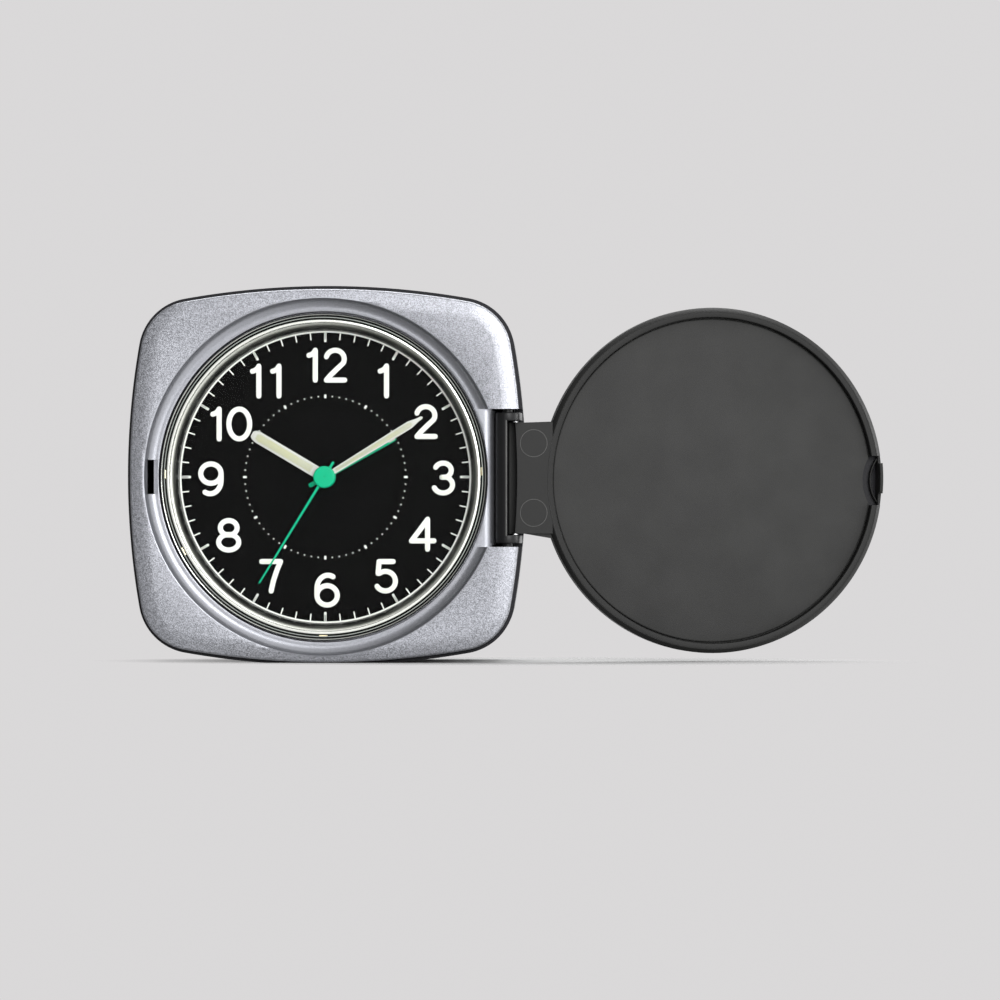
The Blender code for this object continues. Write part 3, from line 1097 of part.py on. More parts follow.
def electronics(board_green, black, steel, plastic):
    """Circuit board, driver chip, quartz can, snooze switch and buzzer."""
    piece("circuit_board", block((-BOARD_HALF_WIDTH, BOARD_HALF_WIDTH), (BOARD_Y, BOARD_BACK_Y),
                                 (BOARD_BOTTOM_Z, BOARD_TOP_Z)), board_green)
    chip_z = BOARD_BOTTOM_Z + (BOARD_TOP_Z - BOARD_BOTTOM_Z) / 3
    seat = BOARD_BACK_Y + GAP
    piece("driver_chip", block((CHIP_X - CHIP_SIZE / 2, CHIP_X + CHIP_SIZE / 2),
                               (seat, seat + CHIP_THICKNESS),
                               (chip_z - CHIP_SIZE / 2, chip_z + CHIP_SIZE / 2)), black)
    piece("quartz_can", rod((QUARTZ_X, seat + QUARTZ_RADIUS), QUARTZ_RADIUS,
                            chip_z - QUARTZ_LENGTH / 2, chip_z + QUARTZ_LENGTH / 2, "Z",
                            sides=ARBOR_SIDES), steel)
    piece("snooze_switch",
          block((-SNOOZE_SWITCH_SIZE / 2, SNOOZE_SWITCH_SIZE / 2),
                (BOARD_Y - GAP - SNOOZE_SWITCH_THICKNESS, BOARD_Y - GAP),
                (SWITCH_TOP_Z - SNOOZE_SWITCH_SIZE, SWITCH_TOP_Z)), black,
          join=[rod((0.0, SNOOZE_Y), SNOOZE_CONTACT_RADIUS, SWITCH_TOP_Z - OVERRUN,
                    SWITCH_TOP_Z + SNOOZE_CONTACT_LENGTH, "Z", sides=ARBOR_SIDES)])
    buzzer_back = BACK_WALL_Y - GAP
    piece("buzzer", rod(BUZZER_AXIS, BUZZER_RADIUS, buzzer_back - BUZZER_THICKNESS, buzzer_back,
                        sides=BODY_SIDES), plastic)


def battery(cell_finish, contact_finish, door_finish):
    """AA cell, its two contacts and the door behind it."""
    cell_axis = (CELL_Y, CELL_CENTRE_HEIGHT)
    left = CELL_NUB_X + CELL_NUB_LENGTH
    section = [(0.0, CELL_NUB_X), (CELL_NUB_RADIUS, CELL_NUB_X), (CELL_NUB_RADIUS, left),
               (CELL_RADIUS, left), (CELL_RADIUS, CELL_RIGHT_X), (0.0, CELL_RIGHT_X)]
    piece("battery_cell", turned(section, cell_axis, "X", sides=BODY_SIDES), cell_finish)
    half = CELL_RADIUS - CONTACT_MARGIN
    plus_right = CELL_NUB_X - GAP
    piece("battery_plus_contact",
          block((plus_right - CONTACT_THICKNESS, plus_right), (CELL_Y - half, CELL_Y + half),
                (CELL_CENTRE_HEIGHT - half, CELL_CENTRE_HEIGHT + half)), contact_finish)
    battery_spring(CELL_RIGHT_X + GAP, TROUGH_HALF_WIDTH - GAP, contact_finish)
    piece("battery_door",
          block((-TROUGH_HALF_WIDTH + GAP, TROUGH_HALF_WIDTH - GAP), (BACK_Y - DOOR_THICKNESS, BACK_Y),
                (TROUGH_BOTTOM_Z + GAP, TROUGH_TOP_Z - GAP)), door_finish,
          pivot=(0.0, BACK_Y, TROUGH_BOTTOM_Z + GAP))


def helix(radius_start, radius_end, start, end, turns, axis, centre):
    """Points of a spring's wire along an axis, from one radius to another."""
    steps = turns * WIRE_STEPS
    points = []
    for i in range(steps + 1):
        share = i / steps
        radius = radius_start + (radius_end - radius_start) * share
        u, v = polar(centre, radius, math.tau * turns * share)
        points.append(place(u, v, start + (end - start) * share, axis))
    return points


def wire(name, points, material):
    """A round wire along points, with closed ends, as a curve turned into a mesh."""
    curve = bpy.data.curves.new(name, "CURVE")
    curve.dimensions = "3D"
    curve.bevel_depth = SPRING_WIRE_RADIUS
    curve.bevel_resolution = 1
    curve.use_fill_caps = True
    spline = curve.splines.new("POLY")
    spline.points.add(len(points) - 1)
    for point, at in zip(spline.points, points):
        point.co = (*at, 1.0)
    curve.materials.append(material)
    item = bpy.data.objects.new(name, curve)
    bpy.context.collection.objects.link(item)
    return item


def battery_spring(small_end, large_end, material):
    """The minus contact: a conical spring wider at the wall, pressed nearly flat."""
    points = helix(BATTERY_SPRING_SMALL_RADIUS, BATTERY_SPRING_LARGE_RADIUS,
                   small_end + SPRING_WIRE_RADIUS, large_end - SPRING_WIRE_RADIUS,
                   BATTERY_SPRING_TURNS, "X", (CELL_Y, CELL_CENTRE_HEIGHT))
    return wire("battery_minus_spring", points, material)


def knob(name, axis, material):
    """A fluted knob in its well, with a hollow stem over its arbor."""
    points = []
    for i in range(2 * KNOB_FLUTES):
        radius = KNOB_RADIUS - (i % 2) * KNOB_FLUTE_DEPTH
        points.append(polar(axis, radius, math.pi * i / KNOB_FLUTES))
    stem_front = REAR_PLATE_BACK_Y + GAP
    bore_back = WELL_FLOOR_Y - CASE_WALL + GAP
    return piece(name, prism(points, KNOB_Y, KNOB_Y + KNOB_THICKNESS), material,
                 join=[rod(axis, KNOB_STEM_RADIUS, stem_front, KNOB_Y + KNOB_THICKNESS / 2)],
                 cut=[rod(axis, KNOB_STEM_BORE, stem_front - OVERRUN, bore_back,
                          sides=ARBOR_SIDES)],
                 pivot=place(*axis, 0.0, "Y"))


def snooze_button(material, steel):
    """Top button with a retaining flange and a stem, and the spring that lifts it."""
    half = SNOOZE_HALF_WIDTH
    top_centre = CASE_TOP_Z - TOP_ARC_RADIUS
    radius = TOP_ARC_RADIUS + SNOOZE_STAND_OUT
    spread = math.asin(half / radius)
    crown = arc((0.0, top_centre), radius, math.pi / 2 - spread, math.pi / 2 + spread, SIDE_STEPS)
    inner_top = top_centre + math.sqrt((TOP_ARC_RADIUS - CASE_WALL) ** 2
                                       - (half + SNOOZE_FLANGE_WIDTH) ** 2)
    flange_top = inner_top - GAP
    flange_bottom = flange_top - SNOOZE_FLANGE_THICKNESS
    outline = crown + [(-half, flange_bottom), (half, flange_bottom)]
    stem_bottom = SWITCH_TOP_Z + SNOOZE_CONTACT_LENGTH + SNOOZE_TRAVEL + GAP
    wide = SNOOZE_FLANGE_WIDTH
    piece("snooze_button",
          prism(outline, SNOOZE_FRONT_Y, SNOOZE_FRONT_Y + SNOOZE_DEPTH), material,
          join=[block((-half - wide, half + wide),
                      (SNOOZE_FRONT_Y - wide, SNOOZE_FRONT_Y + SNOOZE_DEPTH + wide),
                      (flange_bottom, flange_top)),
                rod((0.0, SNOOZE_Y), SNOOZE_STEM_RADIUS, stem_bottom,
                    flange_bottom + SNOOZE_FLANGE_THICKNESS / 2, "Z")],
          pivot=(0.0, SNOOZE_Y, flange_bottom))
    points = helix(SNOOZE_SPRING_RADIUS, SNOOZE_SPRING_RADIUS,
                   SHELF_TOP_Z + GAP + SPRING_WIRE_RADIUS, flange_bottom - GAP - SPRING_WIRE_RADIUS,
                   SNOOZE_SPRING_TURNS, "Z", (0.0, SNOOZE_Y))
    wire("snooze_spring", points, steel)


def alarm_switch(material):
    """Sliding alarm switch: a cap through the back wall and a flange behind it."""
    height = DIAL_Z + SWITCH_ABOVE_CENTRE
    wide = SWITCH_FLANGE_WIDTH
    flange_back = BACK_WALL_Y - GAP
    piece("alarm_switch",
          block((SWITCH_X - SWITCH_HALF_WIDTH, SWITCH_X + SWITCH_HALF_WIDTH),
                (flange_back - SWITCH_FLANGE_THICKNESS / 2, BACK_Y + SWITCH_STAND_OUT),
                (height - SWITCH_HALF_HEIGHT, height + SWITCH_HALF_HEIGHT)), material,
          join=[block((SWITCH_X - SWITCH_HALF_WIDTH - wide, SWITCH_X + SWITCH_HALF_WIDTH + wide),
                      (flange_back - SWITCH_FLANGE_THICKNESS, flange_back),
                      (height - SWITCH_HALF_HEIGHT - wide, height + SWITCH_HALF_HEIGHT + wide))],
          pivot=(SWITCH_X, BACK_Y, height))


def case_screws(material):
    """Four screws from the back of the case into the bezel's posts."""
    head_front = POST_BACK_Y + GAP + BOSS_FLOOR + GAP
    point_y = head_front - SCREW_LENGTH
    head_back = head_front + SCREW_HEAD_THICKNESS
    for number, at in enumerate(screw_places(), start=1):
        section = [(0.0, point_y), (SCREW_SHANK_RADIUS, point_y), (SCREW_SHANK_RADIUS, head_front),
                   (SCREW_HEAD_RADIUS, head_front), (SCREW_HEAD_RADIUS, head_back), (0.0, head_back)]
        piece(f"case_screw_{number}", turned(section, at), material)


def hinge(black, steel):
    """The link: half barrel, two ears and two stubs, with the lid's pin in its ears."""
    low, high = hinge_span(LINK_HALF_HEIGHT)
    ear = capsule(LINK_AXIS, BARREL_RADIUS, LID_AXIS, KNUCKLE_RADIUS)
    half_round = arc(LINK_AXIS, BARREL_RADIUS, math.pi / 2, 3 * math.pi / 2, PIPE_SIDES)
    barrel = prism(half_round, low + EAR_THICKNESS / 2, high - EAR_THICKNESS / 2, "Z")
    stubs = [rod(LINK_AXIS, STUB_RADIUS, high - EAR_THICKNESS / 2, high + STUB_LENGTH, "Z"),
             rod(LINK_AXIS, STUB_RADIUS, low - STUB_LENGTH, low + EAR_THICKNESS / 2, "Z")]
    pivot = place(*LINK_AXIS, HINGE_Z, "Z")
    piece("hinge_link", barrel, black,
          join=[prism(ear, high - EAR_THICKNESS, high, "Z"),
                prism(ear, low, low + EAR_THICKNESS, "Z")] + stubs,
          cut=[rod(LID_AXIS, LID_PIN_RADIUS + RUNNING_GAP, low - OVERRUN, high + OVERRUN, "Z",
                   sides=ARBOR_SIDES)],
          pivot=pivot)
    piece("lid_pin", rod(LID_AXIS, LID_PIN_RADIUS, low, high, "Z", sides=ARBOR_SIDES), steel,
          pivot=place(*LID_AXIS, HINGE_Z, "Z"))


def lid_tongue():
    """The tongue between the lid's rim and its knuckle, drawn closed."""
    inner = LINK_HALF_HEIGHT - EAR_THICKNESS - KNUCKLE_SIDE_GAP
    lid_centre = (0.0, LID_Z)
    radius = LID_RADIUS - RIM_WIDTH / 2
    spread = math.asin(TONGUE_HALF_HEIGHT / radius)
    outline = arc(lid_centre, radius, -spread, spread, SIDE_STEPS)
    outline += [(LID_AXIS_CLOSED[0] - TONGUE_FLARE_START, HINGE_Z + inner),
                (LID_AXIS_CLOSED[0], HINGE_Z + inner), (LID_AXIS_CLOSED[0], HINGE_Z - inner),
                (LID_AXIS_CLOSED[0] - TONGUE_FLARE_START, HINGE_Z - inner)]
    return prism(outline, LID_AXIS_CLOSED[1] - KNUCKLE_RADIUS, LID_AXIS_CLOSED[1])


def lid(shell_finish, liner_finish):
    """The lid's shell with rim, tongue, knuckle, scoop and hook, and the liner inside it."""
    lid_centre = (0.0, LID_Z)
    section = [(0.0, LID_OUTER_Y), (LID_RADIUS - LID_EDGE_RADIUS, LID_OUTER_Y)]
    section += [(r, y) for r, y in arc((LID_RADIUS - LID_EDGE_RADIUS, LID_OUTER_Y + LID_EDGE_RADIUS),
                                       LID_EDGE_RADIUS, -math.pi / 2, 0.0, ROUNDING_STEPS)][1:]
    section += [(LID_RADIUS, LID_INNER_Y - RIM_CHAMFER), (LID_RADIUS - RIM_CHAMFER, LID_INNER_Y),
                (RIM_INNER_RADIUS, LID_INNER_Y), (RIM_INNER_RADIUS, LID_FLOOR_Y), (0.0, LID_FLOOR_Y)]
    inner = LINK_HALF_HEIGHT - EAR_THICKNESS - KNUCKLE_SIDE_GAP
    knuckle = rod(LID_AXIS_CLOSED, KNUCKLE_RADIUS, HINGE_Z - inner, HINGE_Z + inner, "Z")
    sill_y = LID_INNER_Y - SCOOP_SILL_DEPTH
    sill = block((-LID_RADIUS - OVERRUN, -RIM_INNER_RADIUS + OVERRUN), (sill_y, LID_INNER_Y + OVERRUN),
                 (LID_Z - SCOOP_HALF_HEIGHT, LID_Z + SCOOP_HALF_HEIGHT))
    hook = block((-HOOK_OUTER_RADIUS, -HOOK_OUTER_RADIUS + HOOK_THICKNESS),
                 (sill_y - OVERRUN, sill_y + HOOK_LENGTH),
                 hinge_span(HOOK_HALF_WIDTH))
    pin_hole = rod(LID_AXIS_CLOSED, LID_PIN_RADIUS + RUNNING_GAP, HINGE_Z - inner - OVERRUN,
                   HINGE_Z + inner + OVERRUN, "Z", sides=ARBOR_SIDES)
    pivot = place(*LID_AXIS, HINGE_Z, "Z")
    shell = piece("lid_shell", fold_out(turned(section, lid_centre, sides=RING_SIDES)), shell_finish,
                  join=[fold_out(lid_tongue()), fold_out(knuckle)],
                  cut=[fold_out(pin_hole), fold_out(sill)], pivot=pivot)
    combine(shell, [fold_out(hook)], "UNION")
    liner_back = LID_FLOOR_Y + GAP
    scoop = rod((-SCOOP_REACH - SCOOP_RADIUS, LID_Z), SCOOP_RADIUS, liner_back - OVERRUN,
                liner_back + LINER_THICKNESS + OVERRUN, sides=BODY_SIDES)
    liner = rod(lid_centre, RIM_INNER_RADIUS - GAP, liner_back, liner_back + LINER_THICKNESS,
                sides=RING_SIDES)
    piece("lid_liner", fold_out(liner), liner_finish, cut=[fold_out(scoop)], pivot=pivot)


def clear_scene():
    """Remove whatever the scene holds."""
    for item in list(bpy.data.objects):
        bpy.data.objects.remove(item)


def main():
    """Build the clock."""
    clear_scene()
    silver = finish("silver_paint", (0.42, 0.42, 0.45), 0.35, 0.6)
    black = finish("black_plastic", (0.03, 0.03, 0.035), 0.4)
    dial_black = finish("dial_black", (0.015, 0.015, 0.015), 0.5)
    flange_black = finish("flange_black", (0.03, 0.03, 0.03), 0.15)
    clear = finish("clear_acrylic", (0.95, 0.97, 0.95), 0.05, alpha=0.35)
    grey = finish("lid_grey", (0.06, 0.06, 0.06), 0.5)
    liner_grey = finish("liner_grey", (0.065, 0.065, 0.065), 0.6)
    green = finish("hand_green", (0.0, 0.6, 0.35), 0.35)
    white = finish("hand_white", (0.8, 0.8, 0.72), 0.4)
    plastic = finish("movement_plastic", (0.7, 0.7, 0.66), 0.4)
    steel = finish("steel", (0.6, 0.6, 0.6), 0.3, 1.0)
    iron = finish("stator_iron", (0.35, 0.35, 0.37), 0.4, 1.0)
    copper = finish("copper_wire", (0.6, 0.25, 0.1), 0.35, 1.0)
    magnet = finish("magnet", (0.12, 0.12, 0.13), 0.4, 0.5)
    board_green = finish("board_green", (0.02, 0.15, 0.06), 0.4)
    cell_finish = finish("cell_wrapper", (0.1, 0.1, 0.3), 0.3)
    front_bezel(silver)
    rear_case(black)
    crystal(clear)
    dial_flange(flange_black)
    dial_plate(dial_black)
    hands(green, white)
    movement_plates(plastic)
    motion_work(plastic)
    alarm_setting(plastic)
    going_train(plastic, magnet)
    stepping_motor(iron, plastic, copper)
    electronics(board_green, black, steel, black)
    battery(cell_finish, steel, black)
    knob("time_set_knob", MINUTE_WHEEL_AXIS, black)
    knob("alarm_set_knob", ALARM_SETTING_AXIS, black)
    snooze_button(black, steel)
    alarm_switch(black)
    case_screws(steel)
    hinge(black, steel)
    lid(grey, liner_grey)


main()
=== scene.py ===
"""Looks of a travel alarm clock: silver bezel, black dial and a round lid that folds out to +X.

Metres, +Z up. The dial faces -Y, and the origin is the middle of the clock's foot. Lid pieces are
drawn closed over the dial and then folded out to the open place that the clock rests in.
"""

import json
import logging
import math
from collections.abc import Callable, Sequence
from dataclasses import dataclass, field
from enum import Enum

import bmesh
import bpy
from mathutils import Matrix, Vector


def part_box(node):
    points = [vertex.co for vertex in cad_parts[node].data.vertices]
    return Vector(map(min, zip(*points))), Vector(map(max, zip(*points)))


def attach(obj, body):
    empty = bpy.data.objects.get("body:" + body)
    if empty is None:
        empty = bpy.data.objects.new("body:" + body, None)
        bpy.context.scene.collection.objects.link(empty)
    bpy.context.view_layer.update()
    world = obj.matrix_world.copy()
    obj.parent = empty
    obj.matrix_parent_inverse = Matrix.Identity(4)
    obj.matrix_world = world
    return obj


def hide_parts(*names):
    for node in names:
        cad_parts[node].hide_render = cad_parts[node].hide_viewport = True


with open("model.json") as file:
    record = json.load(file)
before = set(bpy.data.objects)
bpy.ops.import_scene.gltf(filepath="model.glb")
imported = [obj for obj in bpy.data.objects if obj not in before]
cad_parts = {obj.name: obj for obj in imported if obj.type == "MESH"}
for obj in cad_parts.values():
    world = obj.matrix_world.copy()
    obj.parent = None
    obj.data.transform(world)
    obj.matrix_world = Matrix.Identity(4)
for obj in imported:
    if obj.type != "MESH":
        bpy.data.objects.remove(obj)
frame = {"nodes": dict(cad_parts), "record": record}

MM = 0.001
BENCH_LOG = logging.getLogger("travel_clock")


class Way(Enum):
    """The three directions of the frame, as indexes of a coordinate."""

    X = 0
    Y = 1
    Z = 2

    @property
    def unit(self) -> Vector:
        """The direction as a vector of length one."""
        return Vector([1.0 if i == self.value else 0.0 for i in range(3)])


class Fit(Enum):
    """How a Boolean modifier combines pieces."""

    JOIN = "UNION"
    CUT = "DIFFERENCE"
    MEET = "INTERSECT"


@dataclass(frozen=True)
class Wire:
    """One output socket, with Python operators that add Math nodes."""

    graph: "Graph"
    socket: bpy.types.NodeSocket

    def math(self, operation: str, *others: "Wire | float") -> "Wire":
        """Add a Math node whose first value is this wire.

        Args:
            operation: name of the Math node's operation.
            others: the remaining values, as wires or numbers.

        Returns:
            The node's result.
        """
        return self.graph.node("ShaderNodeMath", {"operation": operation},
                               dict(enumerate((self, *others))))

    def __add__(self, other: "Wire | float") -> "Wire":
        """This plus other."""
        return self.math("ADD", other)

    def __radd__(self, other: float) -> "Wire":
        """Other plus this."""
        return self.math("ADD", other)

    def __sub__(self, other: "Wire | float") -> "Wire":
        """This less other."""
        return self.math("SUBTRACT", other)

    def __rsub__(self, other: float) -> "Wire":
        """Other less this."""
        return self.graph.node("ShaderNodeMath", {"operation": "SUBTRACT"}, {0: other, 1: self})

    def __mul__(self, other: "Wire | float") -> "Wire":
        """This times other."""
        return self.math("MULTIPLY", other)

    def __rmul__(self, other: float) -> "Wire":
        """Other times this."""
        return self.math("MULTIPLY", other)

    def __truediv__(self, other: "Wire | float") -> "Wire":
        """This divided by other."""
        return self.math("DIVIDE", other)

    def clamp(self) -> "Wire":
        """This kept between zero and one."""
        return self.math("MINIMUM", 1.0).math("MAXIMUM", 0.0)


class Graph:
    """The node tree of one material or world."""

    def __init__(self, owner: bpy.types.Material | bpy.types.World) -> None:
        """Empty the owner's tree and keep it.

        Args:
            owner: the material or world to work on.
        """
        owner.use_nodes = True
        self.tree = owner.node_tree
        self.tree.nodes.clear()

    def node(self, kind: str, settings: dict[str, object] | None = None,
             values: dict[int | str, object] | None = None, output: int | str = 0) -> Wire:
        """Add a node, give it its settings, then the values or links of its sockets.

        Args:
            kind: the node's type.
            settings: attributes of the node, and "stops" for a colour ramp.
            values: socket index or name with a number, colour or wire.
            output: which output to return.

        Returns:
            The chosen output.
        """
        made = self.tree.nodes.new(kind)
        for name, setting in (settings or {}).items():
            if name == "stops":
                self._stops(made.color_ramp, setting)
            else:
                setattr(made, name, setting)
        for key, value in (values or {}).items():
            if isinstance(value, Wire):
                self.tree.links.new(value.socket, made.inputs[key])
            else:
                made.inputs[key].default_value = value
        return Wire(self, made.outputs[output])

    @staticmethod
    def _stops(ramp: bpy.types.ColorRamp, stops: Sequence[tuple[float, tuple]]) -> None:
        """Set the stops of a colour ramp.

        Args:
            ramp: the ramp.
            stops: each stop's place and colour.
        """
        ends = (stops[0], stops[-1])
        for element, (place, colour) in zip(ramp.elements, ends):
            element.position, element.color = place, colour
        for place, colour in stops[1:-1]:
            ramp.elements.new(place).color = colour

    def place(self) -> Wire:
        """The point of the surface in the piece's own coordinates, in metres."""
        return self.node("ShaderNodeTexCoord", output="Object")

    def noise(self, per_mm: float, detail: float = 2.0, roughness: float = 0.5) -> Wire:
        """Cloudy noise between zero and one.

        Args:
            per_mm: how many lumps lie in a millimetre.
            detail: how many finer layers are added.
            roughness: how strong the finer layers are.

        Returns:
            The noise value.
        """
        return self.node("ShaderNodeTexNoise", None,
                         {"Vector": self.place(), "Scale": per_mm / MM, "Detail": detail,
                          "Roughness": roughness}, "Fac")

    def cells(self, per_mm: float, output: str = "Color") -> Wire:
        """One random value for each small cell of the surface.

        Args:
            per_mm: how many cells lie in a millimetre.
            output: the output of the cell node to return.

        Returns:
            The colour or distance of the cells.
        """
        return self.node("ShaderNodeTexVoronoi", None,
                         {"Vector": self.place(), "Scale": per_mm / MM}, output)

    def ramp(self, value: Wire, *stops: tuple[float, float]) -> Wire:
        """A grey ramp.

        Args:
            value: what the ramp reads.
            stops: each stop's place and grey.

        Returns:
            The ramp's grey.
        """
        rows = [(place, (grey, grey, grey, 1.0)) for place, grey in stops]
        return self.node("ShaderNodeValToRGB", {"stops": rows}, {"Fac": value})

    def mix(self, share: "Wire | float", first: "Wire | tuple", second: "Wire | tuple") -> Wire:
        """Blend two colours.

        Args:
            share: how much of the second colour.
            first: the first colour.
            second: the second colour.

        Returns:
            The blended colour.
        """
        return self.node("ShaderNodeMix", {"data_type": "RGBA"}, {0: share, 6: first, 7: second}, 2)

    def bump(self, height: Wire, depth_mm: float) -> Wire:
        """A normal bent by a height.

        Args:
            height: the height, between zero and one.
            depth_mm: how deep the whole height is, in millimetres.

        Returns:
            The bent normal.
        """
        return self.node("ShaderNodeBump", None, {"Distance": depth_mm * MM, "Height": height})

    def reach(self, centre: Sequence[float], axes: Sequence[float]) -> Wire:
        """The distance of the surface from an axis or a point.

        Args:
            centre: a point of the axis, in metres.
            axes: one for each coordinate that counts and zero for the others.

        Returns:
            The distance in metres.
        """
        away = self.node("ShaderNodeVectorMath", {"operation": "SUBTRACT"},
                         {0: self.place(), 1: centre})
        flat = self.node("ShaderNodeVectorMath", {"operation": "MULTIPLY"}, {0: away, 1: axes})
        return self.node("ShaderNodeVectorMath", {"operation": "LENGTH"}, {0: flat}, "Value")

    def principled(self, values: dict[str, object]) -> Wire:
        """A Principled shader.

        Args:
            values: its sockets' values or wires.

        Returns:
            The shader.
        """
        return self.node("ShaderNodeBsdfPrincipled", None, values)

    def surface(self, shader: Wire, output: str = "ShaderNodeOutputMaterial") -> None:
        """Connect a shader to the tree's output.

        Args:
            shader: the shader.
            output: the output node's type.
        """
        made = self.tree.nodes.new(output)
        self.tree.links.new(shader.socket, made.inputs["Surface"])


Colour = tuple[float, float, float]


def rgba(colour: Colour, factor: float = 1.0) -> tuple[float, float, float, float]:
    """A colour with full alpha, lightened or darkened by a factor."""
    return (colour[0] * factor, colour[1] * factor, colour[2] * factor, 1.0)


@dataclass(frozen=True)
class Finish:
    """A finish: its name and the material that it makes once."""

    name: str

    def material(self) -> bpy.types.Material:
        """The finish's material, made at its first use.

        Returns:
            The material.
        """
        known = bpy.data.materials.get(self.name)
        if known:
            return known
        made = bpy.data.materials.new(self.name)
        self.paint(Graph(made))
        return made

    def paint(self, graph: Graph) -> None:
        """Build the shader. Each finish has its own way.

        Args:
            graph: the material's empty node tree.
        """
        raise NotImplementedError


@dataclass(frozen=True)
class Plastic(Finish):
    """Moulded plastic with a fine eroded grain, slight clouding and paler worn high spots."""

    colour: Colour
    roughness: float = 0.45
    grain_per_mm: float = 9.0
    grain_mm: float = 0.012
    clouding: float = 0.12
    coat: float = 0.0
    specular: float = 0.5

    def paint(self, graph: Graph) -> None:
        """Build the plastic's shader.

        Args:
            graph: the material's empty node tree.
        """
        grain = graph.noise(self.grain_per_mm, 3.0, 0.6)
        cloud = graph.noise(0.12, 3.0)
        shade = graph.mix(graph.ramp(cloud, (0.3, 0.0), (0.7, 1.0)),
                          rgba(self.colour, 1.0 - self.clouding),
                          rgba(self.colour, 1.0 + self.clouding))
        speck = graph.ramp(graph.noise(3.0, 2.0), (0.66, 0.0), (0.74, 1.0)) * 0.18
        colour = graph.mix(speck, shade, rgba(self.colour, 1.5))
        rough = (grain - 0.5) * 0.12 + cloud * 0.08 + (self.roughness - 0.04)
        graph.surface(graph.principled({
            "Base Color": colour, "Roughness": rough.clamp(), "Coat Weight": self.coat,
            "Specular IOR Level": self.specular, "Normal": graph.bump(grain, self.grain_mm)}))


@dataclass(frozen=True)
class SparklePaint(Finish):
    """Silver paint whose metal flakes glitter at a tenth of a millimetre."""

    colour: Colour
    roughness: float = 0.36
    flakes_per_mm: float = 6.0
    smooth_radius: float = 34.9 * MM

    def paint(self, graph: Graph) -> None:
        """Build the paint's shader.

        Args:
            graph: the material's empty node tree.
        """
        flake = graph.node("ShaderNodeSeparateColor", None,
                           {0: graph.cells(self.flakes_per_mm)}, 0)
        fine = graph.noise(6.5, 3.0, 0.6)
        cloud = graph.noise(0.08, 2.0)
        radius = graph.reach((0.0, 0.0, DATUM.dial_z), (1.0, 0.0, 1.0))
        grainy = ((radius - self.smooth_radius) / (0.3 * MM)).clamp() * 0.8 + 0.2
        glitter = ((flake * 0.5 + fine * 0.5 - 0.5) * grainy + 0.5).clamp()
        colour = graph.mix(graph.ramp(glitter, (0.25, 0.0), (0.75, 1.0)),
                           rgba(self.colour, 0.6), rgba(self.colour, 1.4))
        toned = graph.mix(cloud * 0.12, colour, rgba(self.colour, 0.9))
        rough = (flake - 0.5) * 0.16 + self.roughness
        graph.surface(graph.principled({
            "Base Color": toned, "Roughness": rough.clamp(), "Metallic": 0.85,
            "Coat Weight": 0.2, "Coat Roughness": 0.12,
            "Normal": graph.bump(glitter, 0.03)}))


@dataclass(frozen=True)
class Metal(Finish):
    """Bare metal with fine drawn lines and faint stains."""

    colour: Colour
    roughness: float = 0.28
    stretch: tuple[float, float, float] = (1.0, 1.0, 12.0)

    def paint(self, graph: Graph) -> None:
        """Build the metal's shader.

        Args:
            graph: the material's empty node tree.
        """
        laid = graph.node("ShaderNodeMapping", None,
                          {"Vector": graph.place(), "Scale": self.stretch})
        lines = graph.node("ShaderNodeTexNoise", None,
                           {"Vector": laid, "Scale": 2.0 / MM, "Detail": 2.0}, "Fac")
        stain = graph.noise(0.5, 3.0)
        colour = graph.mix(stain * 0.35, rgba(self.colour), rgba(self.colour, 0.78))
        rough = lines * 0.16 + stain * 0.08 + (self.roughness - 0.1)
        graph.surface(graph.principled({
            "Base Color": colour, "Roughness": rough.clamp(), "Metallic": 1.0,
            "Normal": graph.bump(lines, 0.006)}))


@dataclass(frozen=True)
class Lume(Finish):
    """Luminous paint or white print, slightly chalky and laid on by hand."""

    colour: Colour
    second: Colour
    roughness: float = 0.6

    def paint(self, graph: Graph) -> None:
        """Build the paint's shader.

        Args:
            graph: the material's empty node tree.
        """
        chalk = graph.noise(4.0, 3.0, 0.6)
        pools = graph.noise(0.45, 2.0)
        colour = graph.mix(graph.ramp(pools, (0.35, 0.0), (0.65, 1.0)),
                           rgba(self.colour), rgba(self.second))
        toned = graph.mix(chalk * 0.2, colour, rgba(self.colour, 0.85))
        graph.surface(graph.principled({
            "Base Color": toned, "Roughness": (chalk * 0.2 + (self.roughness - 0.1)).clamp(),
            "Normal": graph.bump(chalk, 0.01)}))


@dataclass(frozen=True)
class ClearAcrylic(Finish):
    """Clear acrylic: a thin window that lets the dial through and mirrors a little."""

    tint: Colour
    mirror: float = 1.0
    head_on: float = 0.04

    def paint(self, graph: Graph) -> None:
        """Build the window's shader.

        Args:
            graph: the material's empty node tree.
        """
        dust = graph.ramp(graph.noise(2.5, 3.0), (0.62, 0.0), (0.8, 1.0))
        through = graph.node("ShaderNodeBsdfTransparent", None, {"Color": rgba(self.tint)})
        gloss = graph.principled({"Base Color": rgba((0.02, 0.02, 0.02)), "Metallic": 0.0,
                                  "Roughness": (dust * 0.1 + 0.02).clamp(),
                                  "Specular IOR Level": 0.5})
        # The mirrored share rises with the slant, and alike for both sides of the pane.
        slant = graph.node("ShaderNodeLayerWeight", None, {"Blend": 0.5}, "Facing")
        edge = slant * slant * slant * slant * slant * (1.0 - self.head_on) + self.head_on
        graph.surface(graph.node("ShaderNodeMixShader", None,
                                 {0: (edge * self.mirror + dust * 0.01).clamp(),
                                  1: through, 2: gloss}))


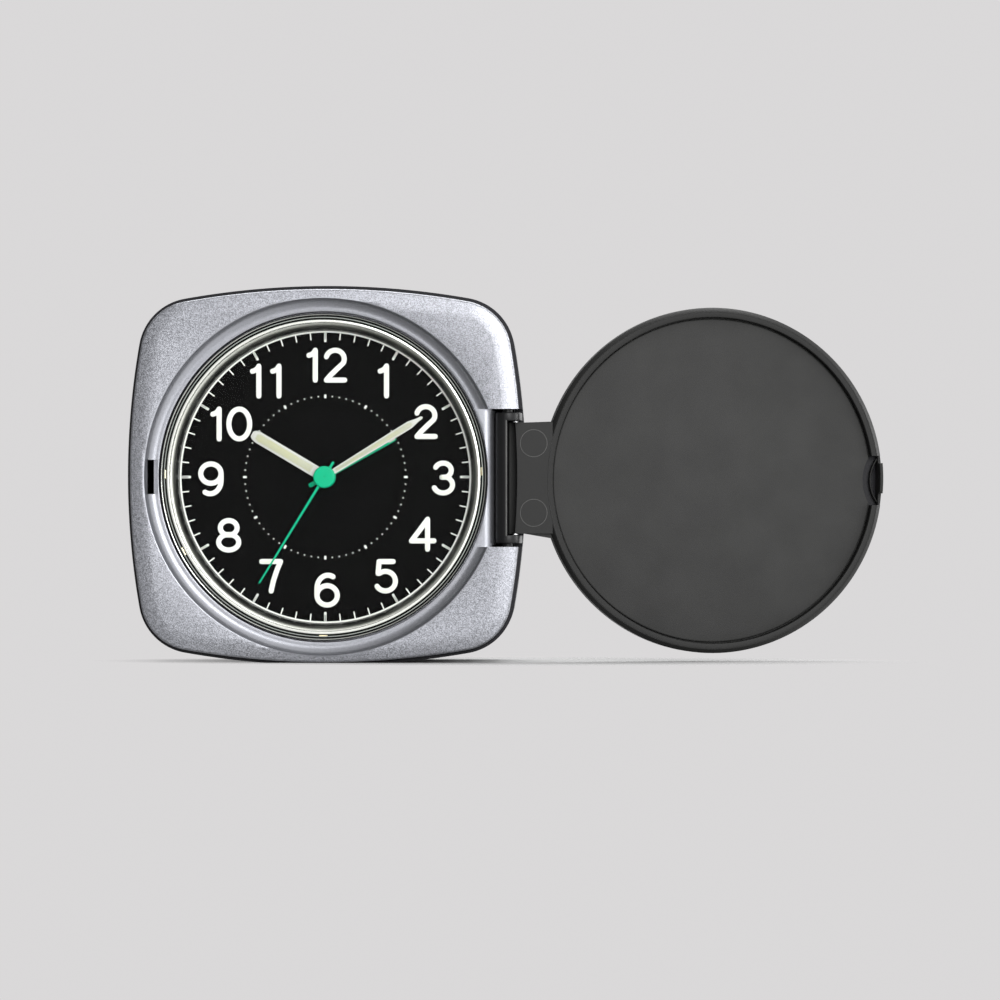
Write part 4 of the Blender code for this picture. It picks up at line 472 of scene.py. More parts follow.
@dataclass(frozen=True)
class PaintedReflectionRings(Finish):
    """Bands of tone round the dial, laid on by radius: painted reflections and refractions that stand
    in for the light and shade of a polished edge or a glossy flange.
    """

    rings: tuple[tuple[float, Colour], ...]
    roughness: float = 0.16
    metallic: float = 0.7

    def paint(self, graph: Graph) -> None:
        """Build the rings' shader.

        Args:
            graph: the material's empty node tree.
        """
        radius = graph.reach((0.0, 0.0, DATUM.dial_z), (1.0, 0.0, 1.0))
        wobble = graph.noise(0.35, 2.0)
        first, last = self.rings[0][0] * MM, self.rings[-1][0] * MM
        share = (radius + (wobble - 0.5) * 0.05 * MM - first) / (last - first)
        rows = [((at * MM - first) / (last - first), rgba(tone)) for at, tone in self.rings]
        colour = graph.node("ShaderNodeValToRGB", {"stops": rows}, {"Fac": share})
        streak = graph.noise(1.6, 3.0)
        toned = graph.mix(streak * 0.3, colour, rgba((0.05, 0.055, 0.05)))
        graph.surface(graph.principled({
            "Base Color": toned, "Metallic": self.metallic,
            "Roughness": (streak * 0.12 + (self.roughness - 0.06)).clamp(),
            "Coat Weight": 0.6, "Coat Roughness": 0.05, "Normal": graph.bump(streak, 0.01)}))


class Palette:
    """The clock's finishes."""

    SILVER = SparklePaint("silver_sparkle_paint", (0.232, 0.237, 0.258))
    CASE_BLACK = Plastic("case_black_plastic", (0.006, 0.006, 0.008), 0.42, specular=0.15)
    HINGE_BLACK = Plastic("hinge_black_plastic", (0.006, 0.006, 0.0065), 0.4, specular=0.2)
    LID_BLACK = Plastic("lid_charcoal_plastic", (0.0105, 0.0105, 0.0102), 0.42, specular=0.12)
    # Lighter plastic for thin edges: a painted highlight.
    EDGE_HIGHLIGHT_PAINT = Plastic("lid_painted_edge_highlight", (0.05, 0.05, 0.048), 0.42, specular=0.2)
    LINER = Plastic("lid_liner_grain", (0.0245, 0.0245, 0.024), 0.62, 5.0, 0.03, specular=0.15)
    DIAL = Plastic("dial_matt_black", (0.0008, 0.0008, 0.0008), 0.6, 12.0, 0.004, 0.2,
                   specular=0.02)
    # The crystal edge's cream white, black and grey-green bands are painted reflections and
    # refractions.
    RIM = PaintedReflectionRings("crystal_edge_painted_reflections", (
        (30.1, (0.92, 0.93, 0.87)), (30.62, (0.92, 0.93, 0.87)), (30.74, (0.03, 0.04, 0.035)),
        (30.95, (0.03, 0.04, 0.035)), (31.05, (0.42, 0.44, 0.40)), (31.22, (0.30, 0.33, 0.31)),
        (31.34, (0.02, 0.03, 0.028)), (31.48, (0.02, 0.03, 0.028)), (31.58, (0.50, 0.50, 0.46)),
        (31.72, (0.22, 0.23, 0.22)), (31.82, (0.01, 0.01, 0.01)), (31.95, (0.01, 0.01, 0.01))))
    # Black flange whose tone runs from black at its foot to pale at its outer edge: a painted
    # reflection.
    FLANGE = PaintedReflectionRings("flange_black_painted_reflection", (
        (28.6, (0.003, 0.003, 0.003)), (29.1, (0.010, 0.010, 0.009)), (29.55, (0.10, 0.10, 0.09)),
        (29.85, (0.45, 0.45, 0.41)), (30.15, (0.80, 0.80, 0.75))), 0.4, 0.6)
    PRINT_WHITE = Lume("print_white", (0.86, 0.87, 0.83), (0.84, 0.85, 0.81))
    NUMERAL_LUME = Lume("numeral_lume", (0.88, 0.91, 0.80), (0.84, 0.88, 0.77))
    HAND_WHITE = Lume("hand_white_paint", (0.581, 0.587, 0.554), (0.568, 0.574, 0.541), 0.4)
    HAND_LUME = Lume("hand_lume_inlay", (0.488, 0.488, 0.31), (0.462, 0.475, 0.383))
    HAND_GREEN = Plastic("hand_bright_green", (0.0, 0.42, 0.21), 0.35, 6.0, 0.004, 0.06,
                         specular=0.15)
    MOVEMENT = Plastic("movement_pale_plastic", (0.60, 0.61, 0.57), 0.42, 6.0, 0.01)
    CRYSTAL = ClearAcrylic("crystal_clear_acrylic", (0.985, 0.99, 0.985))
    STEEL = Metal("bright_steel", (0.62, 0.62, 0.63), 0.26)
    BRASS = Metal("pale_brass", (0.74, 0.66, 0.42), 0.3)
    IRON = Metal("stator_iron_sheet", (0.34, 0.34, 0.36), 0.4, (8.0, 1.0, 1.0))
    COPPER = Metal("winding_copper", (0.72, 0.33, 0.14), 0.32, (40.0, 1.0, 1.0))
    MAGNET = Metal("rotor_magnet", (0.10, 0.10, 0.11), 0.45)
    BOARD = Plastic("board_green_resin", (0.015, 0.12, 0.05), 0.35, 5.0, 0.006)
    CELL = Plastic("cell_wrapper_film", (0.05, 0.06, 0.16), 0.25, 3.0, 0.004, 0.2, 0.4)


class Bench:
    """Modelling steps on Blender's operators, each with everything else deselected first."""

    @staticmethod
    def clear() -> None:
        """Leave edit mode and deselect everything."""
        if bpy.context.object and bpy.context.object.mode != "OBJECT":
            bpy.ops.object.mode_set(mode="OBJECT")
        bpy.ops.object.select_all(action="DESELECT")

    @staticmethod
    def pick(*items: bpy.types.Object) -> bpy.types.Object:
        """Select only the given objects and make the first one active.

        Args:
            items: the objects.

        Returns:
            The first object.
        """
        Bench.clear()
        for item in items:
            item.select_set(True)
        bpy.context.view_layer.objects.active = items[0]
        return items[0]

    @staticmethod
    def chain(points: Sequence[Vector], closed: bool = False) -> bpy.types.Object:
        """Draw a line of edges by extruding one vertex from point to point.

        Args:
            points: the corners of the line.
            closed: whether the last point is joined to the first.

        Returns:
            The drawn object, in object mode.
        """
        Bench.clear()
        bpy.ops.mesh.primitive_plane_add(size=MM, location=points[0])
        item = bpy.context.object
        bpy.ops.object.transform_apply()
        bpy.ops.object.mode_set(mode="EDIT")
        bpy.ops.mesh.select_mode(type="VERT")
        bpy.ops.mesh.select_all(action="SELECT")
        bpy.ops.mesh.merge(type="CENTER")
        for before, after in zip(points, points[1:]):
            bpy.ops.mesh.extrude_region_move(
                TRANSFORM_OT_translate={"value": Vector(after) - Vector(before)})
        if closed:
            mesh = bmesh.from_edit_mesh(item.data)
            mesh.verts.ensure_lookup_table()
            for vert in mesh.verts:
                vert.select = vert.index in (0, len(mesh.verts) - 1)
            mesh.select_flush_mode()
            bmesh.update_edit_mesh(item.data)
            bpy.ops.mesh.edge_face_add()
        bpy.ops.object.mode_set(mode="OBJECT")
        return item

    @staticmethod
    def select(item: bpy.types.Object, kind: str, test: Callable[[Vector, Vector], bool]) -> int:
        """Select faces or edges of the active object in edit mode by place and normal.

        Args:
            item: the object, in edit mode.
            kind: "FACE" or "EDGE".
            test: takes the middle of the face or edge and its normal or direction.

        Returns:
            How many were selected.
        """
        bpy.ops.mesh.select_mode(type=kind)
        bpy.ops.mesh.select_all(action="DESELECT")
        mesh = bmesh.from_edit_mesh(item.data)
        count = 0
        rows = mesh.faces if kind == "FACE" else mesh.edges
        for row in rows:
            if kind == "FACE":
                hit = test(row.calc_center_median(), row.normal)
            else:
                ends = [vert.co for vert in row.verts]
                hit = test((ends[0] + ends[1]) / 2, (ends[1] - ends[0]).normalized())
            if hit:
                row.select_set(True)
                count += 1
        bmesh.update_edit_mesh(item.data)
        return count

    @staticmethod
    def spun(profile: Sequence[tuple[float, float]], centre: tuple[float, float], way: Way = Way.Y,
             steps: int = 96) -> bpy.types.Object:
        """Spin a section round an axis into a closed round solid.

        Args:
            profile: the section as (radius, place along the axis) points.
            centre: the axis's place, as the two other coordinates in X, Y, Z order.
            way: the axis's direction.
            steps: how many sides the solid gets.

        Returns:
            The solid.
        """
        points = [lay(centre[0] + radius, centre[1], along, way) for radius, along in profile]
        item = Bench.chain(points, closed=profile[0][0] > 0.0)
        bpy.ops.object.mode_set(mode="EDIT")
        bpy.ops.mesh.select_all(action="SELECT")
        bpy.ops.mesh.spin(steps=steps, angle=math.tau, center=lay(*centre, 0.0, way), axis=way.unit)
        Bench.tidy_mesh()
        bpy.ops.object.mode_set(mode="OBJECT")
        return item

    @staticmethod
    def tidy_mesh() -> None:
        """Merge doubles and turn all normals outwards, in edit mode."""
        bpy.ops.mesh.select_all(action="SELECT")
        bpy.ops.mesh.remove_doubles(threshold=0.0008 * MM)
        bpy.ops.mesh.normals_make_consistent(inside=False)

    @staticmethod
    def prism(outline: Sequence[tuple[float, float]], start: float, end: float,
              way: Way = Way.Y) -> bpy.types.Object:
        """Fill a closed outline and extrude it along a direction.

        Args:
            outline: the corners, as the two other coordinates in X, Y, Z order.
            start: where the solid starts along the direction.
            end: where it ends.
            way: the direction.

        Returns:
            The solid.
        """
        item = Bench.chain([lay(u, v, start, way) for u, v in outline], closed=True)
        bpy.ops.object.mode_set(mode="EDIT")
        bpy.ops.mesh.select_all(action="SELECT")
        bpy.ops.mesh.edge_face_add()
        bpy.ops.mesh.extrude_region_move(
            TRANSFORM_OT_translate={"value": way.unit * (end - start)})
        Bench.tidy_mesh()
        bpy.ops.object.mode_set(mode="OBJECT")
        return item

    @staticmethod
    def block(low: Sequence[float], high: Sequence[float]) -> bpy.types.Object:
        """A box between two corners.

        Args:
            low: the lowest corner.
            high: the highest corner.

        Returns:
            The box.
        """
        Bench.clear()
        low, high = Vector(low), Vector(high)
        bpy.ops.mesh.primitive_cube_add(size=1.0, location=(low + high) / 2, scale=high - low)
        bpy.ops.object.transform_apply()
        return bpy.context.object

    @staticmethod
    def bevel(item: bpy.types.Object, width: float, segments: int,
              test: Callable[[Vector, Vector], bool]) -> bpy.types.Object:
        """Round the edges that pass a test.

        Args:
            item: the object.
            width: the rounding's radius.
            segments: how many steps it gets.
            test: takes an edge's middle and direction.

        Returns:
            The object.
        """
        Bench.pick(item)
        bpy.ops.object.mode_set(mode="EDIT")
        if Bench.select(item, "EDGE", test):
            bpy.ops.mesh.bevel(offset=width, segments=segments, profile=0.5)
        bpy.ops.object.mode_set(mode="OBJECT")
        return item

    @staticmethod
    def flatten(item: bpy.types.Object, test: Callable[[Vector, Vector], bool]) -> None:
        """Shade chosen faces flat, so a wide face doesn't blend with the slivers round its holes.

        Args:
            item: the object.
            test: takes the middle of a face and its normal.
        """
        Bench.pick(item)
        bpy.ops.object.mode_set(mode="EDIT")
        Bench.select(item, "FACE", test)
        bpy.ops.mesh.faces_shade_flat()
        bpy.ops.object.mode_set(mode="OBJECT")

    @staticmethod
    def combine(item: bpy.types.Object, others: Sequence[bpy.types.Object],
                fit: Fit) -> bpy.types.Object:
        """Join other solids to an object or cut them from it, and remove them.

        Args:
            item: the object that stays.
            others: the solids that are used up.
            fit: join or cut.

        Returns:
            The object.
        """
        if not others:
            return item
        group = bpy.data.collections.new("tools")
        bpy.context.scene.collection.children.link(group)
        for other in others:
            group.objects.link(other)
        Bench.pick(item)
        modifier = item.modifiers.new(fit.name, "BOOLEAN")
        modifier.operation = fit.value
        modifier.solver = "EXACT"
        modifier.operand_type = "COLLECTION"
        modifier.collection = group
        bpy.ops.object.modifier_apply(modifier=modifier.name)
        for other in list(others):
            bpy.data.objects.remove(other)
        bpy.data.collections.remove(group)
        return item

    @staticmethod
    def join(items: Sequence[bpy.types.Object]) -> bpy.types.Object:
        """Put several meshes in one object.

        Args:
            items: the objects.

        Returns:
            The first object, which holds them all.
        """
        Bench.pick(*items)
        if len(items) > 1:
            bpy.ops.object.join()
        return items[0]

    @staticmethod
    def copy(item: bpy.types.Object) -> bpy.types.Object:
        """A copy of an object with its own mesh."""
        Bench.pick(item)
        bpy.ops.object.duplicate(linked=False)
        return bpy.context.object

    @staticmethod
    def shift(item: bpy.types.Object, matrix: Matrix) -> bpy.types.Object:
        """Move or turn an object and apply its place to its mesh.

        Args:
            item: the object.
            matrix: the place to give it.

        Returns:
            The object.
        """
        Bench.pick(item)
        item.matrix_world = matrix
        bpy.ops.object.transform_apply()
        return item

    @staticmethod
    def done(item: bpy.types.Object, name: str, finish: Finish, body: str,
             stands_for: Sequence[str] = (), angle: float = 32.0) -> bpy.types.Object:
        """Name, smooth, dress and seat a finished piece.

        Args:
            item: the object.
            name: the piece's name.
            finish: its finish.
            body: the body that it rides on.
            stands_for: the CAD nodes that it replaces.
            angle: edges sharper than this many degrees stay sharp.

        Returns:
            The object.
        """
        Bench.pick(item)
        item.name = name
        item.data.name = name
        if not item.data.materials:
            item.data.materials.append(finish.material())
        bpy.ops.object.shade_smooth_by_angle(angle=math.radians(angle))
        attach(item, body)
        if stands_for:
            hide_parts(*stands_for)
        BENCH_LOG.info("%s: %d faces", name, len(item.data.polygons))
        return item


def lay(u: float, v: float, along: float, way: Way) -> Vector:
    """A point from its place along a direction and its two other coordinates in X, Y, Z order."""
    if way is Way.X:
        return Vector((along, u, v))
    if way is Way.Y:
        return Vector((u, along, v))
    return Vector((u, v, along))


def polar(centre: tuple[float, float], radius: float, angle: float) -> tuple[float, float]:
    """The point at a radius and an angle, in radians, round a centre."""
    return (centre[0] + radius * math.cos(angle), centre[1] + radius * math.sin(angle))


def arc(centre: tuple[float, float], radius: float, start: float, end: float,
        steps: int) -> list[tuple[float, float]]:
    """Points along an arc from one angle, in degrees, to another, both ends included."""
    return [polar(centre, radius, math.radians(start + (end - start) * i / steps))
            for i in range(steps + 1)]


def rod(centre: tuple[float, float], radius: float, start: float, end: float, way: Way = Way.Y,
        steps: int = 32) -> bpy.types.Object:
    """A plain round solid: a cutter, a stub or a thin worn edge.

    Args:
        centre: the axis's place.
        radius: its radius.
        start: where it starts along its axis.
        end: where it ends.
        way: the axis's direction.
        steps: how many sides it gets.

    Returns:
        The solid.
    """
    profile = [(0.0, start), (radius, start), (radius, end), (0.0, end)]
    return Bench.spun(profile, centre, way, steps)


@dataclass(frozen=True)
class Datum:
    """Places and margins that several sub-assemblies share, in metres."""

    dial_z: float = 36.2 * MM
    case_z: float = 36.45 * MM
    hinge_z: float = 36.0 * MM
    lid_z: float = 35.55 * MM
    front_y: float = -14.0 * MM
    land_y: float = -11.9 * MM
    seam_y: float = -11.2 * MM
    case_front_y: float = -10.9 * MM
    dial_y: float = -6.8 * MM
    collar_back_y: float = -5.9 * MM
    back_y: float = 14.0 * MM
    clear: float = 1.0 * MM
    near: float = 0.01 * MM

    @property
    def dial(self) -> tuple[float, float]:
        """The centre of the dial, as (x, z)."""
        return (0.0, self.dial_z)


DATUM = Datum()


@dataclass(frozen=True)
class Cushion:
    """The case outline: four shallow arcs with round corners."""

    shift_x: float = 0.55 * MM
    half_width: float = 38.9 * MM
    half_height: float = 37.0 * MM
    side_radius: float = 148.0 * MM
    top_radius: float = 159.4 * MM
    corner_radius: float = 10.9 * MM
    arc_steps: int = 14
    corner_steps: int = 16

    def outline(self, inset: float) -> list[tuple[float, float]]:
        """The outline drawn in by an inset.

        Args:
            inset: how far inside the case's outline.

        Returns:
            The corners as (x, z), in order.
        """
        side_x = self.half_width - self.side_radius
        top_z = self.half_height - self.top_radius
        side_reach = self.side_radius - self.corner_radius
        top_reach = self.top_radius - self.corner_radius
        span = math.hypot(side_x, top_z)
        along = (side_reach ** 2 - top_reach ** 2 + span ** 2) / (2 * span)
        across = math.sqrt(side_reach ** 2 - along ** 2)
        corner_x = side_x + (-side_x * along - top_z * across) / span
        corner_z = (top_z * along - side_x * across) / span
        low = math.degrees(math.atan2(corner_z, corner_x - side_x))
        high = math.degrees(math.atan2(corner_z - top_z, corner_x))
        quarter = arc((side_x, 0.0), self.side_radius - inset, 0.0, low, self.arc_steps)[:-1]
        quarter += arc((corner_x, corner_z), self.corner_radius - inset, low, high,
                       self.corner_steps)
        quarter += arc((0.0, top_z), self.top_radius - inset, high, 90.0, self.arc_steps)[1:]
        half = quarter + [(-x, z) for x, z in reversed(quarter[:-1])]
        whole = half + [(x, -z) for x, z in reversed(half[1:-1])]
        return [(self.shift_x + x, DATUM.case_z + z) for x, z in whole]

    def solid(self, inset: float, front: float, back: float,
              draft: float = 0.0) -> bpy.types.Object:
        """A solid of the outline, whose sides may lean in towards the back.

        Args:
            inset: how far inside the case's outline.
            front: its front face.
            back: its back face.
            draft: how much of its width is lost per metre of depth.

        Returns:
            The solid.
        """
        item = Bench.prism(self.outline(inset), front, back)
        if draft:
            bpy.ops.object.mode_set(mode="EDIT")
            Bench.select(item, "FACE", lambda mid, _: mid.y > back - DATUM.near)
            bpy.ops.transform.resize(value=(1.0 - draft * (back - front), 1.0, 1.0),
                                     center_override=(self.shift_x, back, DATUM.case_z))
            bpy.ops.object.mode_set(mode="OBJECT")
        return item


CUSHION = Cushion()


@dataclass
class Bezel:
    """Silver front: recess for the lid, bore for the crystal, hinge notch, catch pocket, posts."""

    inset: float = 0.68 * MM
    edge_round: float = 0.45 * MM
    crown: tuple[tuple[float, float], ...] = (
        (0.9 * MM, 0.15 * MM), (0.9 * MM, 0.10 * MM), (0.9 * MM, 0.05 * MM))
    lip_round: float = 0.3 * MM
    lip_radius: float = 34.75 * MM
    cove_centre: tuple[float, float] = (32.9 * MM, -13.75 * MM)
    cove_radius: float = 1.85 * MM
    bore: float = 32.2 * MM
    bore_round: float = 0.18 * MM
    ledge_bore: float = 30.9 * MM
    ledge_front: float = -7.9 * MM
    ledge_back: float = -7.1 * MM
    collar_radius: float = 33.2 * MM
    collar_front: float = -11.55 * MM
    notch_left: float = 33.4 * MM
    notch_right: float = 41.0 * MM
    notch_half: float = 13.42 * MM
    roll_round: float = 1.9 * MM
    roll_start: float = 29.6 * MM
    wall: float = 2.2 * MM
    stub_radius: float = 1.2 * MM
    stub_reach: float = 1.4 * MM
    stub_axis: tuple[float, float] = (35.95 * MM, -11.0 * MM)
    catch_low: tuple[float, float] = (-34.4 * MM, 32.85 * MM)
    catch_high: tuple[float, float] = (-33.2 * MM, 39.55 * MM)
    catch_back: float = -10.1 * MM
    step_right: float = -32.4 * MM
    step_back: float = -11.3 * MM
    post_radius: float = 2.1 * MM
    post_back: float = 2.7 * MM
    pilot_radius: float = 0.9 * MM
    pilot_front: float = -4.3 * MM

    @staticmethod
    def screw_places() -> tuple[tuple[float, float], ...]:
        """Where the four case screws run, as (x, z)."""
        return ((-27.0 * MM, 61.45 * MM), (27.0 * MM, 61.45 * MM),
                (-31.5 * MM, 17.45 * MM), (31.5 * MM, 17.45 * MM))

    def plate(self) -> bpy.types.Object:
        """The cushion-shaped plate, soft at its front edge and lightly crowned.

        Returns:
            The plate.
        """
        front = DATUM.front_y + sum(rise for _, rise in self.crown)
        plate = CUSHION.solid(self.inset, front, DATUM.seam_y)
        Bench.pick(plate)
        bpy.ops.object.mode_set(mode="EDIT")
        Bench.select(plate, "EDGE", lambda mid, _: mid.y < front + DATUM.near)
        bpy.ops.mesh.bevel(offset=self.edge_round, segments=5, profile=0.5)
        Bench.select(plate, "FACE", lambda mid, way: way.y < -0.9 and mid.y < front + 0.002 * MM)
        for width, rise in self.crown:
            bpy.ops.mesh.inset(thickness=width, depth=rise)
        bpy.ops.mesh.inset(thickness=0.06 * MM)
        bpy.ops.object.mode_set(mode="OBJECT")
        return plate

    def recess(self) -> bpy.types.Object:
        """The cutter of the recess, the bore and the ledge behind the crystal.

        Returns:
            The cutter.
        """
        clear_y = DATUM.front_y - DATUM.clear
        lip = arc((self.lip_radius + self.lip_round, DATUM.front_y + self.lip_round),
                  self.lip_round, 270.0, 180.0, 6)
        cove = arc(self.cove_centre, self.cove_radius, 1.55, 90.0, 12)
        edge = arc((self.bore + self.bore_round, DATUM.land_y + self.bore_round), self.bore_round,
                   270.0, 180.0, 4)
        profile = [(0.0, clear_y), (lip[0][0], clear_y), *lip, *cove[1:],
                   (cove[-1][0] - 0.02 * MM, DATUM.land_y), *edge, (self.bore, self.ledge_front),
                   (self.ledge_bore, self.ledge_front), (self.ledge_bore, self.ledge_back),
                   (self.bore, self.ledge_back), (self.bore, DATUM.collar_back_y + DATUM.clear),
                   (0.0, DATUM.collar_back_y + DATUM.clear)]
        return Bench.spun(profile, DATUM.dial, steps=160)

    def notch(self) -> list[bpy.types.Object]:
        """The cutters of the hinge notch, with the face that rolls down into it.

        Returns:
            The cutters.
        """
        low, high = DATUM.hinge_z - self.notch_half, DATUM.hinge_z + self.notch_half
        clear_y = DATUM.front_y - DATUM.clear
        through = Bench.block((self.notch_left, clear_y, low),
                              (self.notch_right, DATUM.collar_back_y + DATUM.clear, high))
        edge = self.notch_left - self.roll_round
        over = [(self.roll_start, clear_y), (self.notch_right, clear_y),
                (self.notch_right, DATUM.land_y + self.roll_round)]
        over += arc((edge, DATUM.land_y + self.roll_round), self.roll_round, 0.0, -90.0, 10)
        over += [(self.roll_start, DATUM.land_y)]
        return [through, Bench.prism(over, low, high, Way.Z)]

    def stub_holes(self) -> list[bpy.types.Object]:
        """The cutters of the holes for the link's stubs.

        Returns:
            The cutters.
        """
        low, high = DATUM.hinge_z - self.notch_half, DATUM.hinge_z + self.notch_half
        return [rod(self.stub_axis, self.stub_radius, start, end, Way.Z)
                for start, end in ((high - DATUM.clear, high + self.stub_reach),
                                   (low - self.stub_reach, low + DATUM.clear))]

    def build(self) -> None:
        """Build and dress the bezel."""
        plate = self.plate()
        low = DATUM.hinge_z - self.notch_half + 0.3 * MM
        high = DATUM.hinge_z + self.notch_half - 0.3 * MM
        added = [rod(DATUM.dial, self.collar_radius, self.collar_front, DATUM.collar_back_y,
                     steps=120),
                 Bench.block((self.notch_left - self.wall, DATUM.land_y, low),
                             (self.notch_left, DATUM.collar_back_y, high))]
        added += [rod(at, self.post_radius, DATUM.seam_y - DATUM.clear, self.post_back)
                  for at in self.screw_places()]
        Bench.combine(plate, added, Fit.JOIN)
        clear_y = DATUM.front_y - DATUM.clear
        catch = [Bench.block((self.catch_low[0], clear_y, self.catch_low[1]),
                             (self.catch_high[0], self.catch_back, self.catch_high[1])),
                 Bench.block((self.catch_high[0] - 0.1 * MM, clear_y, self.catch_low[1]),
                             (self.step_right, self.step_back, self.catch_high[1]))]
        pilots = [rod(at, self.pilot_radius, self.pilot_front, self.post_back + DATUM.clear,
                      steps=20)
                  for at in self.screw_places()]
        Bench.combine(plate, [self.recess(), *self.notch(), *catch, *pilots, *self.stub_holes()],
                      Fit.CUT)
        Bench.done(plate, "bezel", Palette.SILVER, "case", ["front_bezel"], 28.0)


@dataclass
class RearCase:
    """Black case behind the bezel, with everything that opens through its back and top."""

    wall: float = 1.6 * MM
    back_round: float = 3.4 * MM
    inner_round: float = 1.8 * MM
    back_wall: float = 12.4 * MM
    trough_half: float = 27.0 * MM
    trough_wall: float = 1.5 * MM
    trough_front: float = -2.5 * MM
    trough_low: float = 5.2 * MM
    trough_high: float = 20.3 * MM
    thumb_half: float = 5.0 * MM
    thumb_high: float = 22.8 * MM
    thumb_depth: float = 1.0 * MM
    cell_z: float = 12.75 * MM
    shelf_half: float = 4.0 * MM
    shelf_low: float = 63.0 * MM
    shelf_high: float = 64.2 * MM
    boss_radius: float = 2.9 * MM
    boss_front: float = 3.0 * MM
    boss_floor: float = 5.0 * MM
    counterbore: float = 2.1 * MM
    shank_hole: float = 1.05 * MM
    shank_under: float = 0.3 * MM
    overlap: float = 0.1 * MM
    well_radius: float = 6.8 * MM
    well_floor: float = 12.4 * MM
    well_chamfer: float = 0.3 * MM
    stem_hole: float = 2.05 * MM
    knob_x: float = 10.0 * MM
    hinge_block_left: float = 32.3 * MM
    hinge_block_front: float = -5.6 * MM
    hinge_block_back: float = -2.95 * MM
    hinge_block_half: float = 14.92 * MM
    notch_floor: float = -4.45 * MM
    snooze_half: float = 12.3 * MM
    snooze_front: float = 0.7 * MM
    snooze_back: float = 8.3 * MM
    snooze_y: float = 4.5 * MM
    snooze_cut_top: float = 80.0 * MM
    snooze_stem_hole: float = 1.6 * MM
    shelf_over: float = 1.2 * MM
    buzzer: tuple[float, float] = (-14.0 * MM, 58.2 * MM)
    sound_ring: float = 3.6 * MM
    sound_hole: float = 0.8 * MM
    slot_low: tuple[float, float] = (14.2 * MM, 50.1 * MM)
    slot_high: tuple[float, float] = (22.8 * MM, 54.3 * MM)
    far: float = 45.0 * MM
    draft: float = 1.12

    def knob_axes(self) -> tuple[tuple[float, float], ...]:
        """The axes of the two knobs, as (x, z)."""
        return ((-self.knob_x, DATUM.dial_z), (self.knob_x, DATUM.dial_z))

    def rounded(self, inset: float, front: float, back: float, soft: float) -> bpy.types.Object:
        """A cushion solid with its back edge rounded.

        Args:
            inset: how far inside the case's outline.
            front: its front face.
            back: its back face.
            soft: the radius of the back edge.

        Returns:
            The solid.
        """
        return Bench.bevel(CUSHION.solid(inset, front, back, self.draft), soft, 8,
                           lambda mid, _: mid.y > back - DATUM.near)

    def cavity(self) -> bpy.types.Object:
        """The room inside, less the blocks, bosses and walls that stand in it.

        Returns:
            The cutter.
        """
        room = self.rounded(self.wall, DATUM.case_front_y - DATUM.clear, self.back_wall,
                            self.inner_round)
        low, high = DATUM.hinge_z - self.hinge_block_half, DATUM.hinge_z + self.hinge_block_half
        half = BEZEL.notch_half
        kept = [
            Bench.block((self.hinge_block_left, self.hinge_block_front, low),
                        (self.far, self.hinge_block_back, high)),
            Bench.block((self.hinge_block_left, DATUM.front_y, DATUM.hinge_z + half),
                        (self.far, self.hinge_block_back, high)),
            Bench.block((self.hinge_block_left, DATUM.front_y, low),
                        (self.far, self.hinge_block_back, DATUM.hinge_z - half)),
            Bench.block((-self.trough_half - self.trough_wall, self.trough_front - self.trough_wall,
                         -DATUM.clear),
                        (self.trough_half + self.trough_wall, DATUM.back_y,
                         self.trough_high + self.trough_wall)),
            Bench.block((-self.shelf_half, DATUM.clear, self.shelf_low),
                        (self.shelf_half, DATUM.back_y, self.shelf_high)),
        ]
        kept += [rod(at, self.boss_radius, self.boss_front, DATUM.back_y)
                 for at in Bezel.screw_places()]
        kept += [rod(at, self.well_radius + self.wall, self.well_floor - self.wall, DATUM.back_y)
                 for at in self.knob_axes()]
        return Bench.combine(room, kept, Fit.CUT)

    def openings(self) -> list[bpy.types.Object]:
        """The cutters of all that opens through the case.

        Returns:
            The cutters.
        """
        out = DATUM.back_y + DATUM.clear
        half = BEZEL.notch_half
        cuts = [
            Bench.block((BEZEL.notch_left, DATUM.front_y, DATUM.hinge_z - half),
                        (self.far, self.notch_floor, DATUM.hinge_z + half)),
            Bench.block((-self.trough_half, self.trough_front, self.trough_low),
                        (self.trough_half, out, self.trough_high)),
            Bench.block((-self.thumb_half, DATUM.back_y - self.thumb_depth, self.cell_z),
                        (self.thumb_half, out, self.thumb_high)),
            Bench.block((-self.snooze_half, self.snooze_front, self.shelf_high + DATUM.clear),
                        (self.snooze_half, self.snooze_back, self.snooze_cut_top)),
            Bench.block((self.slot_low[0], self.back_wall - DATUM.clear, self.slot_low[1]),
                        (self.slot_high[0], out, self.slot_high[1])),
            rod((0.0, self.snooze_y), self.snooze_stem_hole, self.shelf_low - DATUM.clear,
                self.shelf_high + self.shelf_over, Way.Z),
        ]
        for at in Bezel.screw_places():
            cuts.append(rod(at, self.counterbore, self.boss_floor, out))
            cuts.append(rod(at, self.shank_hole, self.boss_front - self.shank_under,
                            self.boss_floor + self.overlap, steps=20))
        wide = self.well_radius + self.well_chamfer
        for at in self.knob_axes():
            cuts.append(Bench.spun([(0.0, self.well_floor), (self.well_radius, self.well_floor),
                                    (self.well_radius, DATUM.back_y - self.well_chamfer),
                                    (wide, DATUM.back_y), (wide, out), (0.0, out)], at, steps=64))
            cuts.append(rod(at, self.stem_hole, self.well_floor - self.wall - DATUM.clear,
                            self.well_floor + self.overlap))
        places = [self.buzzer] + [polar(self.buzzer, self.sound_ring, math.radians(60.0 * i))
                                  for i in range(6)]
        cuts += [rod(at, self.sound_hole, self.back_wall - DATUM.clear, out, steps=20)
                 for at in places]
        return cuts

